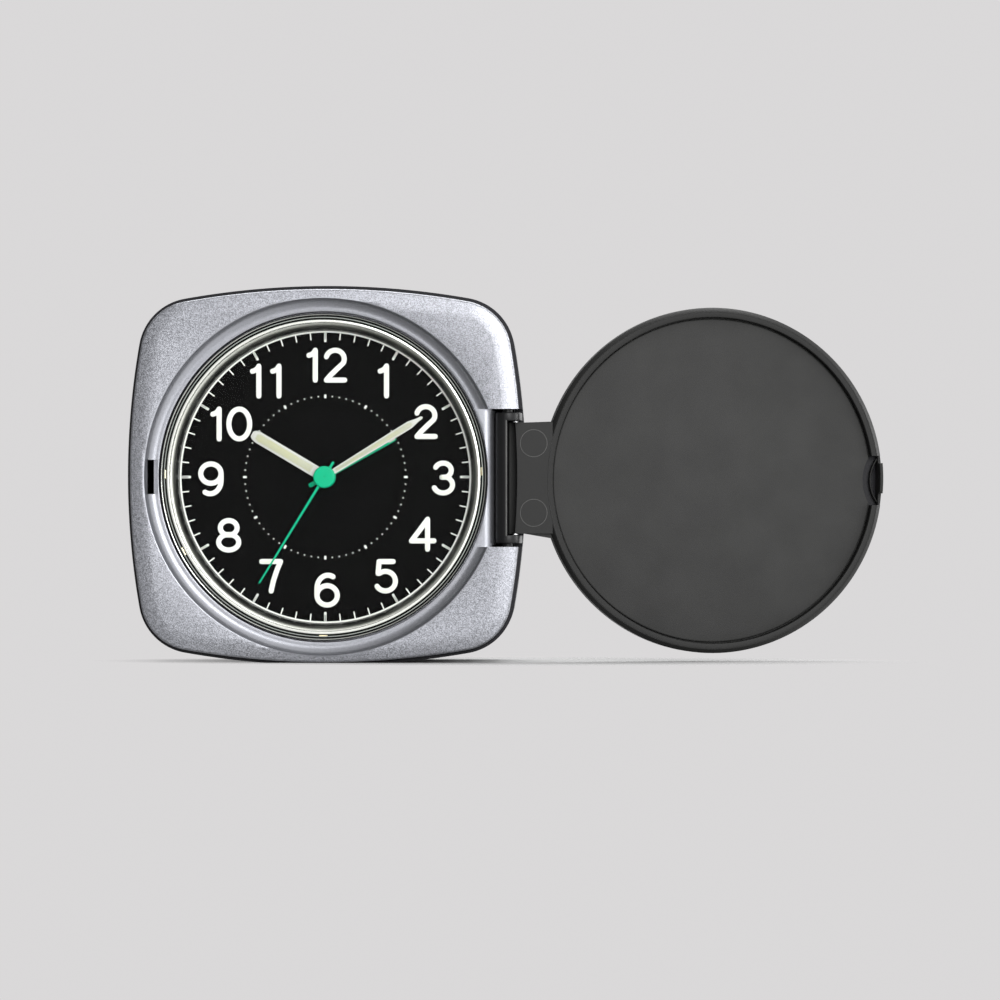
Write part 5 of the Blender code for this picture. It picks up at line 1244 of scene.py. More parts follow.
    def build(self) -> None:
        """Build and dress the case."""
        shell = self.rounded(0.0, DATUM.case_front_y, DATUM.back_y, self.back_round)
        Bench.pick(shell)
        bpy.ops.object.mode_set(mode="EDIT")
        bpy.ops.mesh.select_all(action="SELECT")
        bpy.ops.mesh.bisect(plane_co=(0.0, 0.0, 0.0), plane_no=(0.0, 0.0, 1.0), use_fill=True,
                            clear_inner=True)
        bpy.ops.object.mode_set(mode="OBJECT")
        Bench.combine(shell, [self.cavity(), *self.openings(), *BEZEL.stub_holes()], Fit.CUT)
        Bench.done(shell, "case_shell", Palette.CASE_BLACK, "case", ["rear_case"], 30.0)
        Bench.flatten(shell, lambda _, normal: normal.y > 0.999)


BEZEL = Bezel()


@dataclass
class Crystal:
    """Clear window over the dial, its stepped edge with painted reflection bands, and small brass
    pads seen through it whose colour stands in for glints.
    """

    radius: float = 31.9 * MM
    window: float = 30.12 * MM
    back: float = -8.2 * MM
    bore: float = 30.4 * MM
    window_back: float = -10.4 * MM
    # Small brass pads at the places where glints show in the crystal's edge: painted glints.
    glint_pad_radius: float = 31.0 * MM
    glint_pad_half: float = 0.8 * MM
    glint_pad_rise: float = 0.14 * MM
    glint_pad_front: float = -11.62 * MM
    glint_pad_back: float = -11.3 * MM
    glint_pad_angles: tuple[float, ...] = (88.0, 180.0, 242.0, 271.0)
    beads: tuple[tuple[float, float], ...] = (
        (30.14, -11.78), (30.22, -11.88), (30.4, -11.9), (30.6, -11.86), (30.72, -11.68),
        (30.85, -11.3), (30.98, -11.45), (31.06, -11.7), (31.2, -11.7), (31.3, -11.45),
        (31.42, -11.15), (31.52, -11.5), (31.6, -11.82), (31.76, -11.88), (31.9, -11.7))

    def build(self) -> None:
        """Build and dress the window, the edge and the clips."""
        pane = Bench.spun([(0.0, DATUM.land_y), (self.window, DATUM.land_y),
                           (self.window, self.window_back), (0.0, self.window_back)],
                          DATUM.dial, steps=160)
        Bench.done(pane, "crystal_window", Palette.CRYSTAL, "case", ["crystal"], 25.0)
        profile = [(r * MM, y * MM) for r, y in self.beads]
        profile += [(self.radius, self.back), (self.bore, self.back),
                    (self.bore, self.window_back), (self.beads[0][0] * MM, self.window_back)]
        # The edge's bands of tone are painted reflections and refractions.
        Bench.done(Bench.spun(profile, DATUM.dial, steps=160), "crystal_edge", Palette.RIM, "case",
                   ["crystal"], 40.0)
        # Brass pads whose colour stands in for glints in the edge: painted glints.
        glint_pads = []
        rise = DATUM.dial_z + self.glint_pad_radius
        for angle in self.glint_pad_angles:
            glint_pad = Bench.block((-self.glint_pad_half, self.glint_pad_front, rise - self.glint_pad_rise),
                               (self.glint_pad_half, self.glint_pad_back, rise + self.glint_pad_rise))
            Bench.bevel(glint_pad, 0.08 * MM, 2, lambda _, way: abs(way.x) > 0.9)
            glint_pads.append(Dial.turned(glint_pad, angle))
        Bench.done(Bench.join(glint_pads), "crystal_edge_glint_pads", Palette.BRASS, "case")


@dataclass(frozen=True)
class Stroke:
    """A line of a numeral, as centre points in millimetres from the numeral's middle."""

    points: tuple[tuple[float, float], ...]

    @staticmethod
    def bow(x: float, z: float, wide: float, high: float, start: float, end: float,
            steps: int = 14) -> tuple[tuple[float, float], ...]:
        """Points of an oval bow.

        Args:
            x: its middle.
            z: its middle's height.
            wide: its half width.
            high: its half height.
            start: first angle in degrees.
            end: last angle in degrees.
            steps: how many steps it is drawn in.

        Returns:
            The points.
        """
        turns = [math.radians(start + (end - start) * i / steps) for i in range(steps + 1)]
        return tuple((x + wide * math.cos(a), z + high * math.sin(a)) for a in turns)


def numeral_strokes() -> dict[str, list[Stroke]]:
    """The centre lines of the ten numerals.

    Returns:
        The strokes of each numeral.
    """
    bow = Stroke.bow
    return {
        "0": [Stroke(bow(0.0, 0.0, 2.05, 2.92, 90.0, 450.0, 32))],
        "1": [Stroke(((-1.25, 1.92), (-0.7, 2.1), (-0.25, 2.5), (0.0, 2.92), (0.0, 0.0),
                      (0.0, -2.92)))],
        "2": [Stroke((*bow(-0.05, 1.2, 1.78, 1.72, 165.0, -28.0, 16), (0.3, -0.75), (-1.0, -2.0),
                      (-1.78, -2.92), (0.0, -2.92), (1.8, -2.92)))],
        "3": [Stroke((*bow(-0.1, 1.5, 1.6, 1.42, 155.0, -70.0, 14), (-0.35, 0.14))),
              Stroke(((-0.35, 0.14), *bow(-0.1, -1.32, 1.85, 1.6, 72.0, -158.0, 16)))],
        "4": [Stroke(((0.95, -2.92), (0.95, 0.0), (0.95, 2.92), (-0.6, 0.8), (-2.2, -1.3),
                      (0.0, -1.3), (2.2, -1.3)))],
        "5": [Stroke(((1.45, 2.85), (-1.3, 2.85), (-1.5, 0.55), *bow(-0.05, -0.98, 1.95, 1.92,
                                                                    128.0, -148.0, 18)))],
        "6": [Stroke((*bow(0.15, 0.35, 2.15, 2.57, 62.0, 180.0, 12),
                      *bow(0.0, -1.02, 2.0, 1.9, 180.0, 540.0, 28)))],
        "7": [Stroke(((-1.95, 2.85), (0.0, 2.85), (1.75, 2.85), (1.05, 1.2), (0.35, -0.9),
                      (-0.1, -2.92)))],
        "8": [Stroke(bow(0.0, 1.45, 1.65, 1.42, -90.0, 270.0, 26)),
              Stroke(bow(0.0, -1.38, 1.98, 1.52, 90.0, 450.0, 28))],
        "9": [Stroke((*bow(-0.15, -0.35, 2.15, 2.57, 242.0, 360.0, 12),
                      *bow(0.0, 1.02, 2.0, 1.9, 0.0, 360.0, 28)))],
    }


@dataclass
class Dial:
    """Black dial with its flange, numerals, minute track and alarm scale."""

    bore: float = 1.85 * MM
    radius: float = 31.9 * MM
    back: float = -6.2 * MM
    flange_outer: float = 30.1 * MM
    flange_foot: float = 28.7 * MM
    flange_front: float = -10.1 * MM
    flange_back: float = -7.1 * MM
    print_height: float = 0.05 * MM
    track_radius: float = 28.45 * MM
    track_width: float = 0.34 * MM
    tick_length: float = 1.35 * MM
    tick_width: float = 0.24 * MM
    hour_tick_length: float = 1.85 * MM
    hour_tick_width: float = 0.48 * MM
    scale_radius: float = 15.8 * MM
    scale_tick: tuple[float, float] = (0.72 * MM, 0.42 * MM)
    dot_radius: float = 0.14 * MM
    border_half: float = 0.50 * MM
    lume_half: float = 0.36 * MM
    digit_step: float = 1.98 * MM
    numerals: dict[str, tuple[float, float]] = field(default_factory=lambda: {
        "12": (0.0, 21.9), "1": (12.0, 18.8), "2": (19.75, 10.85), "3": (23.2, -0.2),
        "4": (19.1, -11.2), "5": (11.85, -19.4), "6": (0.35, -22.15), "7": (-10.55, -19.4),
        "8": (-19.0, -11.4), "9": (-22.5, -0.35), "10": (-18.9, 10.4), "11": (-11.1, 18.8)})

    def pad(self, low: tuple[float, float], high: tuple[float, float],
            soft: float) -> bpy.types.Object:
        """A thin printed pad with soft corners.

        Args:
            low: its lowest corner, as (x, z) from the dial's centre.
            high: its highest corner.
            soft: the radius of its corners.

        Returns:
            The pad.
        """
        item = Bench.block((low[0], DATUM.dial_y - self.print_height, DATUM.dial_z + low[1]),
                           (high[0], DATUM.dial_y + 0.01 * MM, DATUM.dial_z + high[1]))
        return Bench.bevel(item, soft, 3, lambda _, way: abs(way.y) > 0.9)

    @staticmethod
    def turned(item: bpy.types.Object, degrees: float) -> bpy.types.Object:
        """Turn a piece clockwise round the middle of the dial."""
        centre = Vector((0.0, 0.0, DATUM.dial_z))
        return Bench.shift(item, Matrix.Translation(centre)
                           @ Matrix.Rotation(math.radians(degrees), 4, "Y")
                           @ Matrix.Translation(-centre))

    @staticmethod
    def ring_of(item: bpy.types.Object, count: int, first: float) -> bpy.types.Object:
        """Turn a mark to its first place and copy it evenly round the dial.

        Args:
            item: the mark, drawn at twelve o'clock.
            count: how many marks there are.
            first: the first one's angle past twelve, in degrees.

        Returns:
            The object with all the marks.
        """
        Dial.turned(item, first)
        bpy.ops.object.mode_set(mode="EDIT")
        bpy.ops.mesh.select_all(action="SELECT")
        bpy.ops.mesh.spin(steps=count, angle=math.tau, center=(0.0, 0.0, DATUM.dial_z),
                          axis=Way.Y.unit, dupli=True)
        bpy.ops.mesh.select_all(action="SELECT")
        bpy.ops.mesh.remove_doubles(threshold=0.0008 * MM)
        bpy.ops.mesh.normals_make_consistent(inside=False)
        bpy.ops.object.mode_set(mode="OBJECT")
        return item

    def marks(self) -> bpy.types.Object:
        """The minute track, its ticks and the alarm scale.

        Returns:
            All the white marks as one object.
        """
        front = DATUM.dial_y - self.print_height
        low = self.track_radius - self.track_width / 2
        high = self.track_radius + self.track_width / 2
        track = Bench.spun([(low, front), (high, front), (high, DATUM.dial_y), (low, DATUM.dial_y)],
                           DATUM.dial, steps=180)
        parts = [track]
        for count, length, width in ((60, self.tick_length, self.tick_width),
                                     (12, self.hour_tick_length, self.hour_tick_width)):
            tick = self.pad((-width / 2, low - length), (width / 2, low), width * 0.3)
            parts.append(self.ring_of(tick, count, 0.0))
        length, width = self.scale_tick
        tick = self.pad((-width / 2, self.scale_radius - length / 2),
                        (width / 2, self.scale_radius + length / 2), width * 0.2)
        parts.append(self.ring_of(tick, 12, 0.0))
        for step in range(1, 6):
            dot = rod((0.0, DATUM.dial_z + self.scale_radius), self.dot_radius, front,
                      DATUM.dial_y + 0.01 * MM, steps=10)
            parts.append(self.ring_of(dot, 12, 5.0 * step))
        return Bench.join(parts)

    @staticmethod
    def tube(points: Sequence[Vector], half: float) -> bpy.types.Object:
        """A round line through points.

        Args:
            points: the line's corners.
            half: its radius.

        Returns:
            The line.
        """
        line = Bench.chain(points)
        Bench.pick(line)
        bpy.ops.object.convert(target="CURVE")
        line.data.bevel_depth = half
        line.data.bevel_resolution = 2
        line.data.use_fill_caps = True
        bpy.ops.object.convert(target="MESH")
        return line

    def stroke(self, stroke: Stroke, half: float, height: float) -> bpy.types.Object:
        """A raised line with round ends along a stroke.

        Args:
            stroke: the line's centre points.
            half: its half width.
            height: how far it stands off the dial.

        Returns:
            The line with its round ends.
        """
        points = [Vector((x * MM, 0.0, z * MM)) for x, z in stroke.points]
        corners = [i for i in range(1, len(points) - 1)
                   if (points[i] - points[i - 1]).angle(points[i + 1] - points[i])
                   > math.radians(30.0)]
        ends = [0, *corners, len(points) - 1]
        parts = [self.tube(points[first:last + 1], half) for first, last in zip(ends, ends[1:])]
        for end in ends:
            bpy.ops.mesh.primitive_uv_sphere_add(radius=half, segments=14, ring_count=8,
                                                 location=points[end])
            bpy.ops.object.transform_apply()
            parts.append(bpy.context.object)
        whole = Bench.join(parts)
        Bench.pick(whole)
        bpy.ops.object.mode_set(mode="EDIT")
        bpy.ops.mesh.select_all(action="SELECT")
        bpy.ops.transform.resize(value=(1.0, height / half, 1.0), center_override=(0.0, 0.0, 0.0))
        bpy.ops.object.mode_set(mode="OBJECT")
        return whole

    def numeral_ring(self, half: float, height: float) -> bpy.types.Object:
        """All twelve numerals at one line width.

        Args:
            half: the lines' half width.
            height: how far they stand off the dial.

        Returns:
            The numerals as one object.
        """
        drawn = {}
        for digit, strokes in numeral_strokes().items():
            drawn[digit] = Bench.join([self.stroke(line, half, height) for line in strokes])
        parts = []
        for number, (x, z) in self.numerals.items():
            for place, digit in enumerate(number):
                across = (place - (len(number) - 1) / 2) * 2 * self.digit_step
                item = Bench.copy(drawn[digit])
                parts.append(Bench.shift(item, Matrix.Translation(
                    (x * MM + across, DATUM.dial_y, DATUM.dial_z + z * MM))))
        for item in drawn.values():
            bpy.data.objects.remove(item)
        return Bench.join(parts)

    def build(self) -> None:
        """Build and dress the dial."""
        plate = Bench.spun([(self.bore, DATUM.dial_y), (self.radius, DATUM.dial_y),
                            (self.radius, self.back), (self.bore, self.back)],
                           DATUM.dial, steps=120)
        Bench.done(plate, "dial_face", Palette.DIAL, "case", ["dial_plate"])
        wide, deep = self.flange_outer - self.flange_foot, self.flange_back - self.flange_front
        curve = [(self.flange_outer - wide * math.sin(math.radians(turn)),
                  self.flange_back - deep * math.cos(math.radians(turn)))
                 for turn in range(0, 91, 9)]
        # The flange's pale outer edge is a painted reflection.
        flange = Bench.spun([*curve, (self.flange_outer, self.flange_back)], DATUM.dial, steps=160)
        Bench.done(flange, "dial_flange_ring", Palette.FLANGE, "case", ["dial_flange"], 25.0)
        Bench.done(self.marks(), "dial_marks", Palette.PRINT_WHITE, "case")
        Bench.done(self.numeral_ring(self.border_half, 0.05 * MM), "numeral_borders",
                   Palette.PRINT_WHITE, "case", angle=50.0)
        Bench.done(self.numeral_ring(self.lume_half, 0.08 * MM), "numeral_lume",
                   Palette.NUMERAL_LUME, "case", angle=50.0)


@dataclass
class Hand:
    """One flat hand with a hub, and a luminous inlay where it has one."""

    name: str
    node: str
    body: str
    clock_degrees: float
    back: float
    stations: list[tuple[float, float]]
    hub: float
    bore: float
    finish: Finish
    inlay: list[tuple[float, float]] = field(default_factory=list)
    inlay_finish: Finish | None = None
    thickness: float = 0.22 * MM

    def outline(self, stations: Sequence[tuple[float, float]]) -> list[tuple[float, float]]:
        """The hand's outline at its clock angle.

        Args:
            stations: distance from the centre and half width, in millimetres.

        Returns:
            The corners as (x, z).
        """
        angle = math.radians(self.clock_degrees)
        along = (math.sin(angle), math.cos(angle))
        points = []
        for side, row in ((-1, stations), (1, stations[::-1])):
            for distance, half in row:
                points.append(((distance * along[0] + side * half * along[1]) * MM,
                               DATUM.dial_z + (distance * along[1] - side * half * along[0]) * MM))
        return points

    def build(self) -> None:
        """Build and dress the hand."""
        front = self.back - self.thickness
        blade = Bench.prism(self.outline(self.stations), front, self.back)
        Bench.bevel(blade, 0.06 * MM, 2, lambda mid, _: mid.y < front + DATUM.near)
        hub = rod(DATUM.dial, self.hub, front, self.back, steps=48)
        hole = rod(DATUM.dial, self.bore, front - DATUM.clear, self.back + DATUM.clear)
        Bench.combine(blade, [hub], Fit.JOIN)
        Bench.combine(blade, [hole], Fit.CUT)
        Bench.done(blade, self.name, self.finish, self.body, [self.node])
        if self.inlay and self.inlay_finish:
            lume = Bench.prism(self.outline(self.inlay), front - 0.04 * MM, front + 0.02 * MM)
            Bench.bevel(lume, 0.025 * MM, 2, lambda mid, _: mid.y < front - 0.03 * MM)
            Bench.done(lume, f"{self.name}_lume", self.inlay_finish, self.body)


@dataclass
class SecondHand:
    """Thin green hand with its domed cap in the middle of the dial."""

    clock_degrees: float = 211.6
    back: float = -9.2 * MM
    thickness: float = 0.22 * MM
    length: float = 24.4
    tail: float = 3.5
    root_half: float = 0.24
    tip_half: float = 0.15
    cap_radius: float = 2.15 * MM
    cap_front: float = -9.75 * MM
    socket: float = 0.45 * MM

    def build(self) -> None:
        """Build and dress the hand and its cap."""
        shape = Hand("second", "second_hand", "seconds", self.clock_degrees, self.back, [],
                     0.0, 0.0, Palette.HAND_GREEN)
        front = self.back - self.thickness
        outline = shape.outline([(-self.tail, self.root_half * 0.6),
                                 (0.2 - self.tail, self.root_half), (0.0, self.root_half),
                                 (self.length - 0.2, self.tip_half),
                                 (self.length, self.tip_half * 0.6)])
        blade = Bench.prism(outline, front, self.back)
        cap = Bench.spun([(0.0, self.cap_front), (1.5 * MM, self.cap_front),
                          *arc((self.cap_radius - 0.25 * MM, self.cap_front + 0.25 * MM), 0.25 * MM,
                               270.0, 360.0, 4), (self.cap_radius, self.back), (0.0, self.back)],
                         DATUM.dial, steps=64)
        Bench.combine(blade, [cap], Fit.JOIN)
        dimple = rod(DATUM.dial, 0.16 * MM, self.cap_front - DATUM.clear, self.cap_front + 0.2 * MM)
        socket = rod(DATUM.dial, self.socket, front, self.back + DATUM.clear)
        Bench.combine(blade, [dimple, socket], Fit.CUT)
        Bench.done(blade, "second_hand_blade", Palette.HAND_GREEN, "seconds", ["second_hand"])


def build_hands() -> None:
    """Build the four hands from the dial outwards."""
    Hand("alarm_hand_blade", "alarm_hand", "alarm", 60.8, -7.25 * MM,
         [(-3.6, 0.3), (-3.3, 0.42), (0.0, 0.42), (1.0, 0.55), (15.4, 0.55), (15.8, 0.4)],
         2.1 * MM, 1.8 * MM,
         Palette.HAND_GREEN, [(14.2, 0.33), (15.6, 0.33)], Palette.HAND_WHITE).build()
    Hand("hour_hand_blade", "hour_hand", "hours", 300.7, -7.9 * MM,
         [(0.0, 1.15), (15.3, 1.15), (16.1, 0.95), (16.6, 0.55)], 2.05 * MM, 1.35 * MM,
         Palette.HAND_WHITE, [(3.0, 0.7), (14.9, 0.75), (15.6, 0.5)], Palette.HAND_LUME).build()
    Hand("minute_hand_blade", "minute_hand", "minutes", 58.6, -8.55 * MM,
         [(1.3, 0.52), (17.5, 0.76), (19.6, 0.76), (20.9, 0.46), (21.6, 0.34), (22.2, 0.3),
          (22.45, 0.14)], 1.9 * MM, 0.9 * MM, Palette.HAND_WHITE,
         [(2.6, 0.26), (17.5, 0.46), (19.2, 0.46), (20.0, 0.26)], Palette.HAND_LUME).build()
    SecondHand().build()


@dataclass
class Lid:
    """Round lid with its tongue, knuckle, finger scoop and hook, drawn closed and folded out."""

    radius: float = 33.95 * MM
    outer_y: float = -16.9 * MM
    inner_y: float = -12.9 * MM
    floor_y: float = -15.3 * MM
    edge: float = 0.9 * MM
    chamfer: float = 0.75 * MM
    rim_bore: float = 32.05 * MM
    liner_radius: float = 31.8 * MM
    liner_low: float = -15.0 * MM
    liner_high: float = -14.4 * MM
    scoop_x: float = -39.1 * MM
    scoop_radius: float = 8.9 * MM
    ridge_radius: float = 7.4 * MM
    ridge_width: float = 0.3 * MM
    ridge_y: float = -14.7 * MM
    pocket_y: float = -16.2 * MM
    wall: float = 33.2 * MM
    bead: tuple[float, float] = (33.0 * MM, 33.14 * MM)
    bead_height: float = 0.03 * MM
    bore_round: float = 0.15 * MM
    sill_y: float = -13.9 * MM
    sill_half: float = 4.85 * MM
    hook_half: float = 3.0 * MM
    hook_outer: float = 33.8 * MM
    hook_inner: float = 33.1 * MM
    hook_reach: float = -11.5 * MM
    axis: tuple[float, float] = (39.4717 * MM, -13.8013 * MM)
    open_axis: tuple[float, float] = (37.1147 * MM, -6.6533 * MM)
    opening: float = 192.0
    knuckle: float = 1.5 * MM
    knuckle_half: float = 10.85 * MM
    tongue_half: float = 11.55 * MM
    flare: float = 1.8 * MM
    pin_bore: float = 0.75 * MM
    mark_x: float = 35.87 * MM
    mark_rise: float = 6.8 * MM
    mark_radius: float = 2.65 * MM

    @property
    def centre(self) -> tuple[float, float]:
        """The centre of the closed lid, as (x, z)."""
        return (0.0, DATUM.lid_z)

    def fold(self, item: bpy.types.Object) -> bpy.types.Object:
        """Fold a piece that is drawn closed out to the open lid's place.

        Args:
            item: the piece.

        Returns:
            The piece.
        """
        turn = Matrix.Rotation(math.radians(self.opening), 4, "Z")
        return Bench.shift(item, Matrix.Translation((*self.open_axis, 0.0)) @ turn
                           @ Matrix.Translation((-self.axis[0], -self.axis[1], 0.0)))

    def tongue(self) -> list[bpy.types.Object]:
        """The tongue: a wide thin root along the rim, and a thick plate ending in the knuckle.

        Returns:
            The root and the plate.
        """
        reach = self.rim_bore + 0.95 * MM
        spread = math.degrees(math.asin(self.tongue_half / reach))
        outline = arc(self.centre, reach, -spread, spread, 12)
        for sign in (1, -1):
            near = (self.axis[0] - self.flare, DATUM.hinge_z + sign * self.knuckle_half)
            far = (self.axis[0], DATUM.hinge_z + sign * self.knuckle_half)
            outline += [near, far] if sign > 0 else [far, near]
        rise = math.degrees(math.asin((self.inner_y - self.axis[1]) / self.knuckle))
        section = [(self.rim_bore + 0.05 * MM, self.inner_y),
                   (self.rim_bore + 0.05 * MM, self.axis[1] - self.knuckle),
                   *arc(self.axis, self.knuckle, 270.0, 360.0 + rise, 16)]
        return [Bench.prism(outline, self.axis[1] - self.knuckle, self.axis[1]),
                Bench.prism(section, DATUM.hinge_z - self.knuckle_half,
                            DATUM.hinge_z + self.knuckle_half, Way.Z)]

    def rim(self) -> list[tuple[float, float]]:
        """The lid's section, from the middle of its outside to the middle of its floor.

        Returns:
            The corners as (radius, y).
        """
        inner, top = self.rim_bore, self.inner_y
        raised = top + self.bead_height
        return [(0.0, self.outer_y),
                *arc((self.radius - self.edge, self.outer_y + self.edge), self.edge,
                     270.0, 360.0, 6),
                (self.radius, top - self.chamfer),
                (self.radius - 0.08 * MM, top - self.chamfer + 0.12 * MM),
                (self.radius - self.chamfer + 0.08 * MM, top - 0.06 * MM),
                (self.radius - self.chamfer, top), (self.bead[1], top),
                (self.bead[1] - 0.03 * MM, raised), (self.bead[0] + 0.03 * MM, raised),
                (self.bead[0], top),
                *arc((inner + self.bore_round, top - self.bore_round), self.bore_round,
                     90.0, 180.0, 4),
                (inner, self.floor_y), (0.0, self.floor_y)]

    def hook(self) -> bpy.types.Object:
        """The catch hook opposite the tongue."""
        middle = (0.0, DATUM.hinge_z)
        spread = math.degrees(math.asin(self.hook_half / self.hook_outer))
        outline = (arc(middle, self.hook_outer, 180.0 - spread, 180.0 + spread, 8)
                   + arc(middle, self.hook_inner, 180.0 + spread, 180.0 - spread, 8))
        hook = Bench.prism(outline, self.sill_y - DATUM.clear, self.hook_reach)
        return Bench.bevel(hook, 0.2 * MM, 3, lambda mid, _: mid.y > self.hook_reach - DATUM.near)

    def shell(self) -> bpy.types.Object:
        """The lid's shell with tongue, knuckle, scoop wall and hook.

        Returns:
            The shell, still closed.
        """
        shell = Bench.spun(self.rim(), self.centre, steps=160)
        Bench.combine(shell, self.tongue(), Fit.JOIN)
        pin = rod(self.axis, self.pin_bore, DATUM.hinge_z - self.knuckle_half - DATUM.clear,
                  DATUM.hinge_z + self.knuckle_half + DATUM.clear, Way.Z, 20)
        low, high = DATUM.lid_z - self.sill_half, DATUM.lid_z + self.sill_half
        top = self.inner_y + DATUM.clear
        sill = Bench.block((-self.radius - DATUM.clear, self.sill_y, low),
                           (-self.rim_bore + DATUM.clear, top, high))
        pocket = rod((self.scoop_x, DATUM.lid_z), self.scoop_radius, self.pocket_y, top, steps=96)
        inside = Bench.block((-self.wall, self.pocket_y - DATUM.clear, low),
                             (self.scoop_x + 2 * self.scoop_radius, top + DATUM.clear, high))
        Bench.combine(pocket, [inside], Fit.MEET)
        Bench.combine(shell, [pin, sill, pocket], Fit.CUT)
        return Bench.combine(shell, [self.ridge(), self.hook()], Fit.JOIN)

    def pocket_painted_shade(self) -> bpy.types.Object:
        """A dark glossy sheet on the floor of the scoop's pocket: painted shade for the deep pocket.
        """
        low, high = DATUM.lid_z - self.sill_half, DATUM.lid_z + self.sill_half
        floor = rod((self.scoop_x, DATUM.lid_z), self.scoop_radius, self.pocket_y - 0.02 * MM,
                    self.pocket_y + 0.1 * MM, steps=96)
        right = self.scoop_x + 2 * self.scoop_radius
        inside = Bench.block((-self.wall, self.pocket_y - DATUM.clear, low),
                             (right, self.pocket_y + DATUM.clear, high))
        return Bench.combine(floor, [inside], Fit.MEET)

    def ridge(self) -> bpy.types.Object:
        """The thin curved wall that stands in the scoop's pocket."""
        centre = (self.scoop_x, DATUM.lid_z)
        inner = self.ridge_radius - self.ridge_width
        spread = 37.0
        outline = (arc(centre, self.ridge_radius, -spread, spread, 24)
                   + arc(centre, inner, spread, -spread, 24))
        wall = Bench.prism(outline, self.pocket_y - DATUM.clear, self.ridge_y)
        return Bench.bevel(wall, 0.08 * MM, 2, lambda mid, _: mid.y > self.ridge_y - DATUM.near)

    def marks(self) -> bpy.types.Object:
        """The two fine circles on the tongue's inner face, in a lighter finish that paints on the
        highlight their edges catch.

        Returns:
            The circles, still closed.
        """
        inner, outer = self.mark_radius - 0.07 * MM, self.mark_radius + 0.07 * MM
        low, high = self.inner_y - 0.02 * MM, self.inner_y + 0.05 * MM
        return Bench.join([Bench.spun([(inner, low), (outer, low), (outer - 0.02 * MM, high),
                                       (inner + 0.02 * MM, high)],
                                      (self.mark_x, DATUM.hinge_z + rise), steps=48)
                           for rise in (-self.mark_rise, self.mark_rise)])

    def liner(self) -> bpy.types.Object:
        """The recessed disc inside the lid, with the scoop's bite.

        Returns:
            The liner, still closed.
        """
        soft = 0.3 * MM
        profile = [(0.0, self.liner_low), (self.liner_radius, self.liner_low),
                   *arc((self.liner_radius - soft, self.liner_high - soft), soft, 0.0, 90.0, 4),
                   (0.0, self.liner_high)]
        disc = Bench.spun(profile, self.centre, steps=160)
        bite = rod((self.scoop_x, DATUM.lid_z), self.scoop_radius, self.liner_low - DATUM.clear,
                   self.liner_high + DATUM.clear, steps=96)
        return Bench.combine(disc, [bite], Fit.CUT)

    def build(self) -> None:
        """Build, fold out and dress the lid."""
        Bench.done(self.fold(self.shell()), "lid_cover", Palette.LID_BLACK, "lid",
                   ["lid_shell"], 28.0)
        Bench.done(self.fold(self.liner()), "lid_inner_disc", Palette.LINER, "lid",
                   ["lid_liner"], 28.0)
        # The near-black sheet in the scoop's pocket is painted shade.
        Bench.done(self.fold(self.pocket_painted_shade()), "scoop_painted_shade", Palette.CASE_BLACK, "lid")
        # The circles are real; their lighter tone is a painted highlight.
        Bench.done(self.fold(self.marks()), "tongue_marks", Palette.EDGE_HIGHLIGHT_PAINT, "lid")


@dataclass
class Hinge:
    """Link between case and lid: half barrel, two ears and two stubs."""

    axis: tuple[float, float] = (35.95 * MM, -11.0 * MM)
    lid_axis: tuple[float, float] = (37.1147 * MM, -6.6533 * MM)
    half: float = 12.73 * MM
    ear: float = 1.6 * MM
    barrel: float = 2.4 * MM
    knuckle: float = 1.5 * MM
    stub: float = 1.05 * MM
    stub_length: float = 1.4 * MM
    # Place and size of the thin lighter strip on the barrel's front edge: a painted highlight.
    highlight_back: float = 0.22 * MM
    highlight_radius: float = 0.2 * MM
    pin: float = 0.6 * MM
    pin_play: float = 0.15 * MM
    pin_chamfer: float = 0.12 * MM

    def capsule(self) -> list[tuple[float, float]]:
        """The ears' outline round both axes.

        Returns:
            The corners as (x, y).
        """
        run = (self.lid_axis[0] - self.axis[0], self.lid_axis[1] - self.axis[1])
        heading = math.degrees(math.atan2(run[1], run[0]))
        lean = math.degrees(math.acos((self.barrel - self.knuckle) / math.hypot(*run)))
        return (arc(self.axis, self.barrel, heading + lean, heading + 360.0 - lean, 24)
                + arc(self.lid_axis, self.knuckle, heading - lean, heading + lean, 14))

    def build(self) -> None:
        """Build and dress the link and the lid's pin."""
        low, high = DATUM.hinge_z - self.half, DATUM.hinge_z + self.half
        mid = self.ear / 2
        barrel = Bench.prism(arc(self.axis, self.barrel, 90.0, 270.0, 24), low + mid, high - mid,
                             Way.Z)
        Bench.bevel(barrel, 0.3 * MM, 3,
                    lambda middle, way: abs(way.z) > 0.9 and middle.x > self.axis[0] - DATUM.near)
        ears = [Bench.bevel(Bench.prism(self.capsule(), start, start + self.ear, Way.Z),
                            0.2 * MM, 3, lambda _, way: abs(way.z) < 0.1)
                for start in (low, high - self.ear)]
        stubs = [rod(self.axis, self.stub, high - mid, high + self.stub_length, Way.Z),
                 rod(self.axis, self.stub, low - self.stub_length, low + mid, Way.Z)]
        Bench.combine(barrel, [*ears, *stubs], Fit.JOIN)
        bore = rod(self.lid_axis, self.pin + self.pin_play, low - DATUM.clear, high + DATUM.clear,
                   Way.Z, 20)
        Bench.combine(barrel, [bore], Fit.CUT)
        Bench.done(barrel, "hinge_barrel", Palette.HINGE_BLACK, "link", ["hinge_link"])
        # A thin lighter strip along the barrel's front edge: a painted highlight.
        edge = rod((self.axis[0] - self.highlight_back, self.axis[1] - self.barrel + self.highlight_radius),
                   self.highlight_radius, low + self.ear - 0.1 * MM, high - self.ear + 0.1 * MM,
                   Way.Z, 16)
        Bench.done(edge, "hinge_painted_edge_highlight", Palette.EDGE_HIGHLIGHT_PAINT, "link")
        tip = self.pin - self.pin_chamfer
        pin = Bench.spun([(0.0, low), (tip, low), (self.pin, low + self.pin_chamfer),
                          (self.pin, high - self.pin_chamfer), (tip, high), (0.0, high)],
                         self.lid_axis, Way.Z, 24)
        Bench.done(pin, "hinge_pin", Palette.STEEL, NODE_BODY["lid_pin"], ["lid_pin"])


